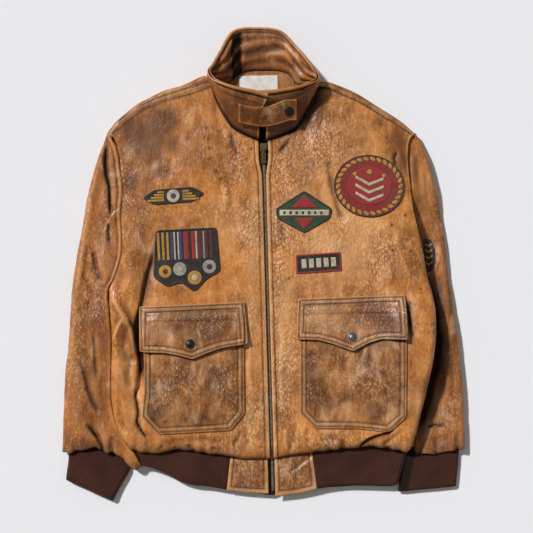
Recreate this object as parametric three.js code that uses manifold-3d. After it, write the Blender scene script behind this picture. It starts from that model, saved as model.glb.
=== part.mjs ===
import * as THREE from 'three';
import Module from 'manifold-3d';

const wasm = await Module();
wasm.setup();

// Leather flight jacket laid flat on its back, front up. Sizes in mm.
// +X is the wearer's left, +Y runs from hem to collar, +Z is up from the floor.

// Walls and clearances
const WALL = 2.0;            // body leather
const SHEET = 2.0;           // back and under sleeves, flat on the floor
const SEAM = 0.4;            // clearance where two pieces meet
const BADGE = 1.4;           // embroidered cloth badge
const FLAP = 2.2;            // pocket flap, two layers pressed flat
const COLLAR_WALL = 3.0;     // collar, two layers of leather
const RIB_WALL = 2.0;        // knitted rib
const RIB_RISE = 0.5;        // raised rib over its groove
const RIB_PITCH = 6.0;

// Heights over the floor
const ZIP_Z = 26;            // front edge beside the zip
const CHEST_RISE = 5;        // dome of each front panel
const HEM_Z = 14;            // lower edge of a front panel
const HEM_PUFF = 30;         // length over which the front swells above the hem
const SHOULDER_Z = 22;       // front shoulder seam
const SIDE_LIFT = 18;        // left side seam, lifted by the sleeve under it
const LEFT_SIDE_Z = 44;      // top of the left side roll
const HEM_RIB_Z = 11;        // top of the front hem rib
const CUFF_Z = 10;           // height of a cuff

// The zip's centre line leans a little, from the hem to the throat
const HEM_Y = -318;
const THROAT_Y = 201;
const zipX = (y) => 13.5 - (14.5 * (y - HEM_Y)) / (THROAT_Y - HEM_Y);
const zipHalfGap = (y) => 3.5 + 3.7 * ease((y - 138) / 36);

function clamp(t) {
  return Math.min(1, Math.max(0, t));
}

function ease(t) {
  const c = clamp(t);
  return c * c * (3 - 2 * c);
}

function mix(a, b, t) {
  return a + (b - a) * t;
}

// A quarter-round rise from 0 to 1 over the first part of t
function swell(t) {
  const c = 1 - clamp(t);
  return Math.sqrt(1 - c * c);
}

// Smooth plan curve through points, by arc length
function curve(points) {
  const c = new THREE.SplineCurve(points.map((p) => new THREE.Vector2(p[0], p[1])));
  c.arcLengthDivisions = 300;
  return (t) => {
    const p = c.getPointAt(clamp(t));
    return [p.x, p.y];
  };
}

// Two curves end to end, the first up to t = share
function joined(first, second, share) {
  return (t) => (t < share ? first(t / share) : second((t - share) / (1 - share)));
}

// Patch between four plan curves: low(u), high(u), near(v), far(v)
function coons(low, high, near, far) {
  return (u, v) => {
    const out = [0, 0];
    const a = low(u);
    const b = high(u);
    const c = near(v);
    const d = far(v);
    const p00 = low(0);
    const p10 = low(1);
    const p01 = high(0);
    const p11 = high(1);
    for (let k = 0; k < 2; k++) {
      const ruled = mix(a[k], b[k], v) + mix(c[k], d[k], u);
      const corners = mix(mix(p00[k], p10[k], u), mix(p01[k], p11[k], u), v);
      out[k] = ruled - corners;
    }
    return out;
  };
}

// Height of soft folds: each runs along a path, fades at its ends and has a width and a rise
function folded(folds, x, y) {
  let z = 0;
  for (const f of folds) {
    let best = Infinity;
    let along = 0;
    const n = f.path.length - 1;
    for (let i = 0; i < n; i++) {
      const [ax, ay] = f.path[i];
      const [bx, by] = f.path[i + 1];
      const dx = bx - ax;
      const dy = by - ay;
      const t = clamp(((x - ax) * dx + (y - ay) * dy) / (dx * dx + dy * dy));
      const d = Math.hypot(x - ax - t * dx, y - ay - t * dy);
      if (d < best) {
        best = d;
        along = (i + t) / n;
      }
    }
    z += f.rise * Math.exp(-((best / f.wide) ** 2)) * ease(along / 0.2) * ease((1 - along) / 0.2);
  }
  return z;
}

// Points of a rolled side, from the top of the panel round to its seam.
// over and under are the roll's depth above and below its widest line, and
// turn is 1 for a full roll and 0 for an edge that is only turned down.
function rolledSide(edge, dir, top, r) {
  const drop = mix(2.4, (top - r.low) / 2, r.turn);
  const over = mix(3, r.over, r.turn);
  const under = mix(0.8, r.under, r.turn);
  const mid = top - drop;
  const end = mix(mid - 1, r.low, r.turn);
  const points = [];
  for (const deg of [60, 30, 0]) {
    const a = THREE.MathUtils.degToRad(deg);
    const back = over * (1 - Math.cos(a));
    points.push([edge[0] - dir[0] * back, edge[1] - dir[1] * back, mid + drop * Math.sin(a)]);
  }
  for (const deg of [45, 90]) {
    const a = THREE.MathUtils.degToRad(deg);
    const back = under * (1 - Math.cos(a));
    points.push([edge[0] - dir[0] * back, edge[1] - dir[1] * back, mid - (mid - end) * Math.sin(a)]);
  }
  return points;
}

// Closed solid between an outer and an inner grid of points
function solidFromGrids(outer, inner) {
  const rows = outer.length;
  const cols = outer[0].length;
  const flat = [];
  for (const g of [outer, inner]) {
    for (const row of g) {
      for (const p of row) {
        flat.push(p[0], p[1], p[2]);
      }
    }
  }
  const at = (s, i, j) => s * rows * cols + i * cols + j;
  const index = [];
  const quad = (a, b, c, d) => {
    index.push(a, b, c, a, c, d);
  };
  for (let i = 0; i < rows - 1; i++) {
    for (let j = 0; j < cols - 1; j++) {
      quad(at(0, i, j), at(0, i, j + 1), at(0, i + 1, j + 1), at(0, i + 1, j));
      quad(at(1, i, j), at(1, i + 1, j), at(1, i + 1, j + 1), at(1, i, j + 1));
    }
  }
  for (let j = 0; j < cols - 1; j++) {
    quad(at(0, 0, j), at(1, 0, j), at(1, 0, j + 1), at(0, 0, j + 1));
    quad(at(0, rows - 1, j), at(0, rows - 1, j + 1), at(1, rows - 1, j + 1), at(1, rows - 1, j));
  }
  for (let i = 0; i < rows - 1; i++) {
    quad(at(0, i, 0), at(0, i + 1, 0), at(1, i + 1, 0), at(1, i, 0));
    quad(at(0, i, cols - 1), at(1, i, cols - 1), at(1, i + 1, cols - 1), at(0, i + 1, cols - 1));
  }
  return geometryOf(flat, index);
}

// Closed tube wall: grids whose columns run all the way round
function tubeFromGrids(outer, inner) {
  const rows = outer.length;
  const cols = outer[0].length;
  const flat = [];
  for (const g of [outer, inner]) {
    for (const row of g) {
      for (const p of row) {
        flat.push(p[0], p[1], p[2]);
      }
    }
  }
  const at = (s, i, j) => s * rows * cols + i * cols + (j % cols);
  const index = [];
  const quad = (a, b, c, d) => {
    index.push(a, b, c, a, c, d);
  };
  for (let j = 0; j < cols; j++) {
    for (let i = 0; i < rows - 1; i++) {
      quad(at(0, i, j), at(0, i, j + 1), at(0, i + 1, j + 1), at(0, i + 1, j));
      quad(at(1, i, j), at(1, i + 1, j), at(1, i + 1, j + 1), at(1, i, j + 1));
    }
    quad(at(0, 0, j), at(1, 0, j), at(1, 0, j + 1), at(0, 0, j + 1));
    const e = rows - 1;
    quad(at(0, e, j), at(0, e, j + 1), at(1, e, j + 1), at(1, e, j));
  }
  return geometryOf(flat, index);
}

function geometryOf(flat, index) {
  let volume = 0;
  for (let k = 0; k < index.length; k += 3) {
    const [a, b, c] = [index[k] * 3, index[k + 1] * 3, index[k + 2] * 3];
    volume += flat[a] * (flat[b + 1] * flat[c + 2] - flat[b + 2] * flat[c + 1]);
    volume -= flat[a + 1] * (flat[b] * flat[c + 2] - flat[b + 2] * flat[c]);
    volume += flat[a + 2] * (flat[b] * flat[c + 1] - flat[b + 1] * flat[c]);
  }
  if (volume < 0) {
    for (let k = 0; k < index.length; k += 3) {
      [index[k + 1], index[k + 2]] = [index[k + 2], index[k + 1]];
    }
  }
  const g = new THREE.BufferGeometry();
  g.setAttribute('position', new THREE.Float32BufferAttribute(flat, 3));
  g.setIndex(index);
  return g;
}

// Grid moved along its own normals, with the side that faces up or out taken as positive
function moved(grid, distance, outward) {
  const rows = grid.length;
  const cols = grid[0].length;
  const v = (i, j) => new THREE.Vector3(...grid[i][j]);
  const normals = grid.map((row, i) =>
    row.map((p, j) => {
      const du = v(i, Math.min(cols - 1, j + 1)).sub(v(i, Math.max(0, j - 1)));
      const dv = v(Math.min(rows - 1, i + 1), j).sub(v(Math.max(0, i - 1), j));
      return du.cross(dv).normalize();
    }),
  );
  const [ti, tj] = outward.at;
  const sign = Math.sign(normals[ti][tj].dot(new THREE.Vector3(...outward.dir)));
  return grid.map((row, i) =>
    row.map((p, j) => {
      const n = normals[i][j];
      return [p[0] + sign * distance * n.x, p[1] + sign * distance * n.y, p[2] + sign * distance * n.z];
    }),
  );
}

// Solids by manifold, for pieces cut out of a moved panel
function toManifold(g) {
  return new wasm.Manifold(
    new wasm.Mesh({
      numProp: 3,
      vertProperties: new Float32Array(g.getAttribute('position').array),
      triVerts: new Uint32Array(g.getIndex().array),
    }),
  );
}

function fromManifold(m) {
  const mesh = m.getMesh();
  const g = new THREE.BufferGeometry();
  g.setAttribute('position', new THREE.Float32BufferAttribute(mesh.vertProperties, 3));
  g.setIndex(Array.from(mesh.triVerts));
  return g;
}

function prism(outline, low, high) {
  let area = 0;
  outline.forEach((p, i) => {
    const q = outline[(i + 1) % outline.length];
    area += p[0] * q[1] - q[0] * p[1];
  });
  const loop = area < 0 ? outline.slice().reverse() : outline;
  return wasm.Manifold.extrude([loop], high - low).translate([0, 0, low]);
}

// Slab made of a panel's own points, moved up by lift(x, y) and thick(x, y)
function slabOn(panel, outline, lift, thick) {
  const xs = outline.map((p) => p[0]);
  const ys = outline.map((p) => p[1]);
  const [x0, x1] = [Math.min(...xs) - 30, Math.max(...xs) + 30];
  const [y0, y1] = [Math.min(...ys) - 30, Math.max(...ys) + 30];
  const hit = { i0: 1e9, i1: -1, j0: 1e9, j1: -1 };
  panel.grid.forEach((row, i) =>
    row.slice(panel.first, panel.last + 1).forEach((p, k) => {
      if (p[0] > x0 && p[0] < x1 && p[1] > y0 && p[1] < y1) {
        hit.i0 = Math.min(hit.i0, i);
        hit.i1 = Math.max(hit.i1, i);
        hit.j0 = Math.min(hit.j0, k + panel.first);
        hit.j1 = Math.max(hit.j1, k + panel.first);
      }
    }),
  );
  const block = panel.grid.slice(hit.i0, hit.i1 + 1).map((row) => row.slice(hit.j0, hit.j1 + 1));
  const low = block.map((row) => row.map(([x, y, z]) => [x, y, z + lift(x, y)]));
  const top = block.map((row) => row.map(([x, y, z]) => [x, y, z + lift(x, y) + thick]));
  return toManifold(solidFromGrids(top, low));
}

function cutOn(panel, outline, lift, thick) {
  return slabOn(panel, outline, lift, thick).intersect(prism(outline, -20, 120));
}

// Height of a panel's own facets at a point
function heightOn(panel, x, y) {
  let z = -Infinity;
  const tri = (a, b, c) => {
    const det = (b[0] - a[0]) * (c[1] - a[1]) - (c[0] - a[0]) * (b[1] - a[1]);
    const s = ((x - a[0]) * (c[1] - a[1]) - (c[0] - a[0]) * (y - a[1])) / det;
    const t = ((b[0] - a[0]) * (y - a[1]) - (x - a[0]) * (b[1] - a[1])) / det;
    if (s >= -1e-6 && t >= -1e-6 && s + t <= 1 + 1e-6) {
      z = Math.max(z, a[2] + s * (b[2] - a[2]) + t * (c[2] - a[2]));
    }
  };
  for (let i = 0; i < panel.grid.length - 1; i++) {
    for (let j = panel.first; j < panel.last; j++) {
      const [a, b] = [panel.grid[i][j], panel.grid[i][j + 1]];
      const [c, d] = [panel.grid[i + 1][j + 1], panel.grid[i + 1][j]];
      tri(a, b, c);
      tri(a, c, d);
    }
  }
  return z;
}

const part = new THREE.Group();
part.name = 'leather_jacket';

const COLOURS = {
  leather: 0xa87449,
  rib: 0x38201a,
  tape: 0x2b2119,
  brass: 0x8a6b3c,
  snap: 0x1c1a19,
  label: 0xcac5b9,
  badge: 0x8e3b32,
};
const materials = {};
for (const [name, colour] of Object.entries(COLOURS)) {
  const metal = name === 'brass' ? 0.9 : 0;
  materials[name] = new THREE.MeshStandardMaterial({ color: colour, roughness: 0.6, metalness: metal });
  materials[name].name = name;
}

function add(name, geometry, slot) {
  const mesh = new THREE.Mesh(geometry, materials[slot]);
  mesh.name = name;
  part.add(mesh);
}

// Front panels: zip edge, hem edge, side and armhole edge, neck and shoulder edge
const frontEdges = {
  right: {
    hem: [[-27, -319], [-55, -315], [-93, -310], [-136, -304], [-168, -308], [-188, -310], [-204, -304]],
    side: [[-222, -287], [-237, -260], [-244, -232], [-246, -200], [-246, -124], [-249, -80], [-252, -41]],
    armhole: [[-252, -41], [-242, -20], [-232, 12], [-230, 40], [-232, 80], [-229, 121], [-233, 155], [-236, 180], [-241, 197], [-248, 213]],
    neck: [[-25, 208], [-43, 217], [-55, 227], [-68, 247], [-79, 269], [-86, 291]],
    shoulder: [[-86, 291], [-120, 279], [-153, 270], [-185, 258], [-205, 248], [-238, 223], [-248, 213]],
  },
  left: {
    hem: [[58, -311], [105, -305], [133, -302], [157, -300], [180, -299], [208, -303]],
    side: [[232, -308], [243, -294], [254, -252], [264, -207], [274, -160], [279, -100], [276, -58], [266, -21], [261, 8]],
    armhole: [[261, 8], [254, 43], [248, 68], [243, 90], [239, 125], [235, 165], [236, 196], [242, 212]],
    neck: [[27, 207], [42, 213], [54, 221], [68, 245], [80, 270], [88, 291]],
    shoulder: [[88, 291], [105, 288], [133, 276], [157, 265], [190, 245], [226, 223], [242, 212]],
  },
};

// Main folds of the fronts, by path, width and rise
const frontFolds = {
  right: [
    { path: [[-207, -20], [-206, -90], [-203, -160], [-204, -235]], wide: 13, rise: -7 },
    { path: [[-258, -38], [-230, -86], [-210, -128], [-211, -160]], wide: 12, rise: 6 },
    { path: [[-228, -150], [-234, -207], [-224, -255], [-196, -305]], wide: 15, rise: 6 },
    { path: [[-205, 225], [-180, 190], [-150, 175]], wide: 16, rise: -3 },
    { path: [[-215, 90], [-200, 40], [-196, -20]], wide: 15, rise: 3 },
    { path: [[-40, 185], [-30, 100], [-22, 0], [-14, -60]], wide: 13, rise: 2.5 },
  ],
  left: [
    { path: [[262, 30], [247, -10], [241, -60], [244, -140], [238, -230]], wide: 13, rise: -4 },
    { path: [[205, -268], [175, -284], [148, -306]], wide: 11, rise: 3.5 },
    { path: [[205, 215], [190, 185], [150, 160]], wide: 16, rise: -3 },
    { path: [[40, 185], [36, 100], [32, 0], [30, -60]], wide: 13, rise: 2.5 },
    { path: [[222, 60], [200, 20], [170, -10]], wide: 14, rise: 2.5 },
  ],
};

// Right side of the body beside the sleeve, and left side seam over the sleeve
function sideSeam(side, y) {
  if (side === 'right') {
    return { low: SHEET + SEAM, under: 8, over: 10 };
  }
  return { low: backLift(300, y) + SHEET + SEAM + 1.2, under: 14, over: 13 };
}

// Lift of the back panel where its left side lies on the sleeve
function backLift(x, y) {
  const along = ease((62 - y) / 44) * ease((y + 292) / 44);
  return SIDE_LIFT * along * ease((x - 212) / 26);
}

const FRONT_COLS = 11;
const FRONT_ROWS = [0, 0.009, 0.026, 0.052];
for (let i = 1; i <= 22; i++) {
  FRONT_ROWS.push(0.052 + (0.948 * i) / 22);
}
const ARMPIT = 0.5;
const NECK_SHARE = 0.34;

function frontPanel(side) {
  const e = frontEdges[side];
  const s = side === 'right' ? -1 : 1;
  const zipEdge = (y) => [zipX(y) + s * zipHalfGap(y), y];
  const near = (v) => zipEdge(mix(HEM_Y, THROAT_Y, v));
  const far = joined(curve(e.side), curve(e.armhole), ARMPIT);
  const low = curve([zipEdge(HEM_Y), ...e.hem, e.side[0]]);
  const high = joined(curve([zipEdge(THROAT_Y), ...e.neck]), curve(e.shoulder), NECK_SHARE);
  const plan = coons(low, high, near, far);
  const zAt = (u, v, x, y) => {
    const dome = CHEST_RISE * Math.sin(Math.PI * clamp(u)) * ease((1 - v) / 0.25);
    const fall = (ZIP_Z - SHOULDER_Z) * ease((v - 0.72) / 0.28) * ease(u / NECK_SHARE);
    let z = ZIP_Z + dome - fall;
    if (side === 'left') {
      z += (LEFT_SIDE_Z - ZIP_Z) * ease((u - 0.45) / 0.55) * ease((0.56 - v) / 0.16);
    }
    const inside = ease(u / 0.12) * ease(v / 0.06) * ease((1 - v) / 0.06);
    z += folded(frontFolds[side], x, y) * inside;
    return HEM_Z + (z - HEM_Z) * swell((v * 560) / HEM_PUFF);
  };
  const grid = FRONT_ROWS.map((v) => {
    const a = plan(0.93, v);
    const edge = plan(1, v);
    const len = Math.hypot(edge[0] - a[0], edge[1] - a[1]);
    const dir = [(edge[0] - a[0]) / len, (edge[1] - a[1]) / len];
    const r = sideSeam(side, edge[1]);
    r.turn = ease((ARMPIT + 0.035 - v) / 0.06) * ease(v / 0.05);
    const inset = mix(3, r.over, r.turn);
    const row = [];
    for (let j = 0; j <= FRONT_COLS; j++) {
      const u = j / FRONT_COLS;
      const p = plan(u, v);
      const x = p[0] - dir[0] * inset * ease((u - 0.6) / 0.4);
      const y = p[1] - dir[1] * inset * ease((u - 0.6) / 0.4);
      row.push([x, y, zAt(u, v, x, y)]);
    }
    row.push(...rolledSide(edge, dir, row[FRONT_COLS][2], r));
    return row;
  });
  return { grid, first: 0, last: FRONT_COLS };
}

const UP = { at: [12, 5], dir: [0, 0, 1] };
const fronts = { right: frontPanel('right'), left: frontPanel('left') };
for (const side of ['right', 'left']) {
  const outer = fronts[side].grid;
  add(`front_${side}`, solidFromGrids(outer, moved(outer, -WALL, UP)), 'leather');
}

// Sleeves: top panel from the armhole and inner edge to the outer edge, rolled down to the floor
const sleeveEdges = {
  right: {
    inner: [[-252, 212], [-244.5, 197], [-239, 180], [-236, 155], [-232, 121], [-235, 80], [-233, 40], [-235, 12], [-245, -20], [-256, -42],
      [-253, -80], [-250, -124], [-250, -205], [-247, -238], [-239, -270], [-224, -300], [-204, -331]],
    outer: [[-258, 210], [-266, 190], [-275, 165], [-289, 112], [-298, 60], [-308, 7], [-315, -46], [-319, -111], [-325, -177],
      [-328, -243], [-330, -308]],
    end: [[-204, -331], [-212, -337], [-229, -320], [-246, -306], [-257, -309], [-268, -307], [-277, -300], [-305, -304],
      [-330, -308]],
    folds: [
      { path: [[-258, 205], [-263, 165], [-257, 130], [-258, 100], [-256, 60]], wide: 10, rise: -7 },
      { path: [[-240, 75], [-258, 52], [-256, 15]], wide: 9, rise: -5 },
      { path: [[-300, 40], [-280, -10], [-286, -60]], wide: 14, rise: -4 },
      { path: [[-262, -40], [-285, -75], [-300, -90]], wide: 13, rise: -4 },
      { path: [[-279, -110], [-281, -150], [-278, -185]], wide: 11, rise: -5 },
      { path: [[-296, -150], [-294, -190], [-290, -225]], wide: 10, rise: -4 },
      { path: [[-272, -240], [-277, -275], [-274, -312]], wide: 10, rise: -5 },
    ],
  },
  left: {
    inner: [[245.5, 211], [238.8, 195], [237.5, 165], [241.5, 125], [245.5, 90], [250.5, 68], [256.5, 43], [263.5, 9],
      [257, -25], [247, -50], [241, -105], [240, -178], [243, -252], [249, -310]],
    outer: [[251, 211], [262, 191], [272, 166], [283, 124], [291, 78], [297, 40], [303, -13], [311, -67], [320, -136],
      [327, -210], [329, -256], [330, -303]],
    end: [[249, -310], [270, -311], [295, -308], [330, -303]],
    folds: [
      { path: [[255, 165], [262, 120], [268, 70], [276, 20]], wide: 10, rise: -4 },
      { path: [[300, 5], [306, -60], [312, -110]], wide: 9, rise: -3 },
      { path: [[316, -150], [310, -205], [306, -260]], wide: 10, rise: -4 },
      { path: [[296, -215], [292, -260], [290, -312]], wide: 9, rise: -4 },
    ],
  },
};
const SLEEVE_COLS = 6;
const SLEEVE_ROWS = 22;

function sleevePanel(side) {
  const e = sleeveEdges[side];
  const near = curve(e.inner);
  const far = curve(e.outer);
  const low = (u) => [mix(e.inner[0][0], e.outer[0][0], u), mix(e.inner[0][1], e.outer[0][1], u)];
  const plan = coons(low, curve(e.end), near, far);
  const pit = side === 'right' ? -41 : 9;
  const zAt = (u, v, x, y, innerY) => {
    const cap = ease((innerY - pit + 15) / 55);
    let z;
    if (side === 'right') {
      z = mix(21, mix(24, 19, ease(u / 0.7)), cap);
    } else {
      z = mix(mix(14.5, 21, ease((x - 262) / 40)), mix(23, 18, ease(u / 0.8)), cap);
    }
    const roll = ease((1 - v) / 0.05) * ease(v / 0.05);
    z += folded(e.folds, x, y) * roll * ease(u / 0.15) * ease((1 - u) / 0.15);
    return mix(14.5, z, swell((1 - v) / 0.05));
  };
  const grid = [];
  for (let i = 0; i <= SLEEVE_ROWS; i++) {
    const v = i / SLEEVE_ROWS;
    const a = plan(0, v);
    const b = plan(1, v);
    const len = Math.hypot(b[0] - a[0], b[1] - a[1]);
    const dir = [(b[0] - a[0]) / len, (b[1] - a[1]) / len];
    const small = Math.min(1, len / 50);
    const turn = ease((pit + 18 - a[1]) / 36);
    const inA = { low: SHEET + SEAM, under: 8 * small, over: 9 * small, turn };
    const inB = { low: SHEET + SEAM, under: 7 * small, over: 10 * small, turn: 1 };
    const offA = mix(3 * small, inA.over, turn);
    const row = [];
    for (let j = 0; j <= SLEEVE_COLS; j++) {
      const u = j / SLEEVE_COLS;
      const p = plan(u, v);
      const shift = offA * (1 - ease(u / 0.45)) - inB.over * ease((u - 0.55) / 0.45);
      const x = p[0] + dir[0] * shift;
      const y = p[1] + dir[1] * shift;
      row.push([x, y, zAt(u, v, x, y, a[1])]);
    }
    const before = rolledSide(a, [-dir[0], -dir[1]], row[0][2], inA).reverse();
    const after = rolledSide(b, dir, row[SLEEVE_COLS][2], inB);
    grid.push([...before, ...row, ...after]);
  }
  return { grid, first: 5, last: 5 + SLEEVE_COLS };
}

const sleeves = { right: sleevePanel('right'), left: sleevePanel('left') };
for (const side of ['right', 'left']) {
  const outer = sleeves[side].grid;
  add(`sleeve_${side}_top`, solidFromGrids(outer, moved(outer, -WALL, { at: [11, 8], dir: [0, 0, 1] })), 'leather');
}

// Under sleeves: flat, from the armhole to just short of the cuff, inside the rolled edges
const underOutlines = {
  right: [[-259, 203], [-272, 160], [-284, 112], [-293, 60], [-303, 7], [-309, -46], [-314, -111], [-319, -177], [-322, -243],
    [-323, -292], [-308, -289], [-285, -290], [-262, -297], [-240, -308], [-222, -322], [-222, -312], [-239, -280], [-242, -240], [-244, -205], [-244, -124], [-248, -80], [-250, -45],
    [-242, -20], [-233, 12], [-232, 40], [-234, 80], [-231, 121], [-234.5, 155], [-237.5, 180], [-243, 197], [-249, 207]],
  left: [[251, 203], [267, 165], [278, 124], [286, 78], [292, 40], [298, -13], [306, -67], [315, -136], [321, -210], [323, -256],
    [324, -290], [290, -294], [255, -298], [250, -252], [247, -178], [248, -105], [254, -50], [262, -22], [262.5, 9], [255.5, 43],
    [249.5, 68], [244.5, 90], [240.5, 125], [236.7, 165], [237.5, 192], [243, 205]],
};
for (const side of ['right', 'left']) {
  add(`sleeve_${side}_under`, fromManifold(prism(underOutlines[side], 0, SHEET)), 'leather');
}

// Back panel: flat on the floor, lifted where its left side lies on the sleeve
const backOutline = [
  [-208, -302], [-232, -262], [-238, -232], [-240, -200], [-240, -124], [-243, -80], [-246, -43], [-238, -20], [-229, 12],
  [-227.5, 40], [-229, 80], [-226, 121], [-230, 155], [-233, 180], [-238, 198], [-245, 210], [-232, 224], [-205, 244], [-160, 266], [-105, 289], [-84, 297],
  [-60, 318], [-30, 329], [0, 331], [30, 329], [60, 318], [84, 297], [105, 284], [150, 266], [190, 240], [236, 208],
  [234, 196], [233, 165], [236, 125], [241, 90], [246, 68], [251.5, 43], [256, 10], [257, -30], [264, -80], [264, -150],
  [258, -200], [247, -235], [236, -258], [231, -280], [229, -302],
];
const backXs = [-262, -100, 60, 206, 214, 220, 226, 232, 240, 252, 280];
const backYs = [-310, -294, -280, -268, -256, -246, -180, -110, -40, 16, 28, 38, 48, 64, 200, 340];
const backLow = backYs.map((y) => backXs.map((x) => [x, y, backLift(x, y)]));
const backTop = backLow.map((row) => row.map((p) => [p[0], p[1], p[2] + SHEET]));
let back = toManifold(solidFromGrids(backTop, backLow)).intersect(prism(backOutline, -5, 60));

// The back rolls forward over each shoulder to the front shoulder seam
const shoulderRolls = {
  right: {
    ridge: [[-94, 309], [-105, 307], [-135, 293], [-161, 286], [-188, 273], [-210, 261], [-242, 234], [-252, 221]],
    seam: [[-90, 293], [-105, 287.5], [-130, 279.5], [-153, 272.5], [-185, 260.5], [-205, 251], [-236, 229], [-246, 219.5]],
  },
  left: {
    ridge: [[92, 302], [105, 299.5], [130, 290.5], [155, 279], [187, 258.5], [224, 235], [242, 222]],
    seam: [[91, 293], [105, 290.5], [130, 280.5], [157, 268], [190, 248.5], [220, 230], [238, 218]],
  },
};
for (const side of ['right', 'left']) {
  const ridge = curve(shoulderRolls[side].ridge);
  const seam = curve(shoulderRolls[side].seam);
  const grid = [];
  for (let i = 0; i <= 11; i++) {
    const t = i / 11;
    const o = ridge(t);
    const q = seam(t);
    const n = ridge(Math.min(1, t + 0.02));
    const m = ridge(Math.max(0, t - 0.02));
    const len = Math.hypot(n[0] - m[0], n[1] - m[1]);
    let dir = [(n[1] - m[1]) / len, -(n[0] - m[0]) / len];
    if (dir[1] < 0) {
      dir = [-dir[0], -dir[1]];
    }
    const half = (SHOULDER_Z - 0.6) / 2;
    const row = [[o[0] - 20 * dir[0], o[1] - 20 * dir[1], 0]];
    for (const deg of [-90, -50, -20, 20, 55]) {
      const a = THREE.MathUtils.degToRad(deg);
      const in9 = 9 * (1 - Math.cos(a));
      row.push([o[0] - in9 * dir[0], o[1] - in9 * dir[1], half + half * Math.sin(a)]);
    }
    row.push([q[0], q[1], 2 * half]);
    grid.push(row);
  }
  const inner = moved(grid, -SHEET, { at: [5, 4], dir: [0, 1, 1] });
  inner.forEach((row) => {
    row[0][2] = SHEET;
  });
  back = back.add(toManifold(solidFromGrids(grid, inner)));
}
add('back', fromManifold(back), 'leather');

// Cuffs: flattened knitted tubes, ribs raised on the top side over a plain inside
const cuffShapes = {
  right: { a: [[-217, -332], [-248, -389]], b: [[-320, -301], [-325, -354]], bow: 14, open: 3 },
  left: { a: [[262, -303], [229, -374]], b: [[322, -297], [317, -365]], bow: 0, open: 0 },
};
const CUFF_ROWS = 3;
for (const side of ['right', 'left']) {
  const c = cuffShapes[side];
  const wide = Math.hypot(c.a[1][0] - c.b[1][0], c.a[1][1] - c.b[1][1]);
  const ribs = Math.round(wide / RIB_PITCH);
  const outer = [];
  const inner = [];
  for (let i = 0; i <= CUFF_ROWS; i++) {
    const w = i / CUFF_ROWS;
    const a = [mix(c.a[0][0], c.a[1][0], w), mix(c.a[0][1], c.a[1][1], w)];
    const b = [mix(c.b[0][0], c.b[1][0], w), mix(c.b[0][1], c.b[1][1], w)];
    const top = CUFF_Z + c.open * w * w;
    const rowO = [];
    const rowI = [];
    const at = (s) => [mix(a[0], b[0], s), mix(a[1], b[1], s) + c.bow * (1 - w) * Math.sin(Math.PI * s)];
    const cols = 2 * ribs;
    for (let j = 0; j <= cols; j++) {
      const u = j / cols;
      const edge = swell(Math.min(u, 1 - u) / 0.09);
      const rise = j % 2 === 1 ? RIB_RISE : 0;
      const p = at(u);
      const q = at(mix(0.035, 0.965, u));
      rowO.push([p[0], p[1], mix(top * 0.45, top - RIB_RISE + rise, edge)]);
      rowI.push([q[0], q[1], mix(top * 0.45, top - RIB_RISE - RIB_WALL, edge)]);
    }
    for (const u of [0.97, 0.85, 0.5, 0.15, 0.03]) {
      const p = at(u);
      const q = at(mix(0.035, 0.965, u));
      const lift = u > 0.9 || u < 0.1 ? 0.5 : 0;
      rowO.push([p[0], p[1], lift]);
      rowI.push([q[0], q[1], RIB_WALL + lift]);
    }
    outer.push(rowO);
    inner.push(rowI);
  }
  add(`cuff_${side}`, tubeFromGrids(outer, inner), 'rib');
}

// Hem rib: one band from tab to tab round the back, folded at both sides
const hemTop = {
  right: [[-57, -314], [-93, -308], [-136, -302], [-168, -306], [-196, -306]],
  left: [[82, -307], [133, -300], [180, -297], [208, -301], [236, -307]],
};
const hemLow = {
  right: [[-63, -370], [-93, -364], [-115, -362], [-137, -356], [-159, -344], [-181, -334], [-194, -330]],
  left: [[90, -368], [125, -363], [171, -363], [205, -364], [219, -361]],
};
function hemFront(side, w, u) {
  const a = curve(hemTop[side])(u);
  const b = curve(hemLow[side])(u);
  return [mix(a[0], b[0], w), mix(a[1], b[1], w)];
}
const hemOuter = [];
const hemInner = [];
for (let i = 0; i <= 2; i++) {
  const w = i / 2;
  const rowO = [];
  const rowI = [];
  const top = HEM_RIB_Z - w;
  const front = (side, forward) => {
    const count = 2 * Math.round(140 / RIB_PITCH);
    for (let k = 0; k <= count; k++) {
      const j = forward ? k : count - k;
      const p = hemFront(side, w, (0.97 * j) / count);
      rowO.push([p[0], p[1], top - RIB_RISE + (j % 2 === 1 ? RIB_RISE : 0)]);
      rowI.push([p[0], p[1], top - RIB_RISE - RIB_WALL]);
    }
  };
  const fold = (side, down) => {
    const e = hemFront(side, w, 1);
    const s = side === 'right' ? -1 : 1;
    for (const deg of down ? [45, 0, -50] : [-50, 0, 45]) {
      const a = THREE.MathUtils.degToRad(deg);
      const r = (top - RIB_RISE) / 2;
      rowO.push([e[0] - s * (2 - 3.5 * Math.cos(a)), e[1], r + r * Math.sin(a)]);
      rowI.push([e[0] - s * (2 - 1.5 * Math.cos(a)), e[1], r + (r - RIB_WALL) * Math.sin(a)]);
    }
  };
  front('right', true);
  fold('right', true);
  const l = hemFront('right', w, 1);
  const m0 = hemFront('right', w, 0);
  const m1 = hemFront('left', w, 0);
  const r = hemFront('left', w, 1);
  for (const p of [[l[0] + 3, l[1]], m0, m1, [r[0] - 3, r[1]]]) {
    rowO.push([p[0], p[1] + 4 * (1 - w), 0]);
    rowI.push([p[0], p[1] + 4 * (1 - w), RIB_WALL]);
  }
  fold('left', false);
  front('left', false);
  hemOuter.push(rowO);
  hemInner.push(rowI);
}
add('hem_rib', solidFromGrids(hemOuter, hemInner), 'rib');

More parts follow.
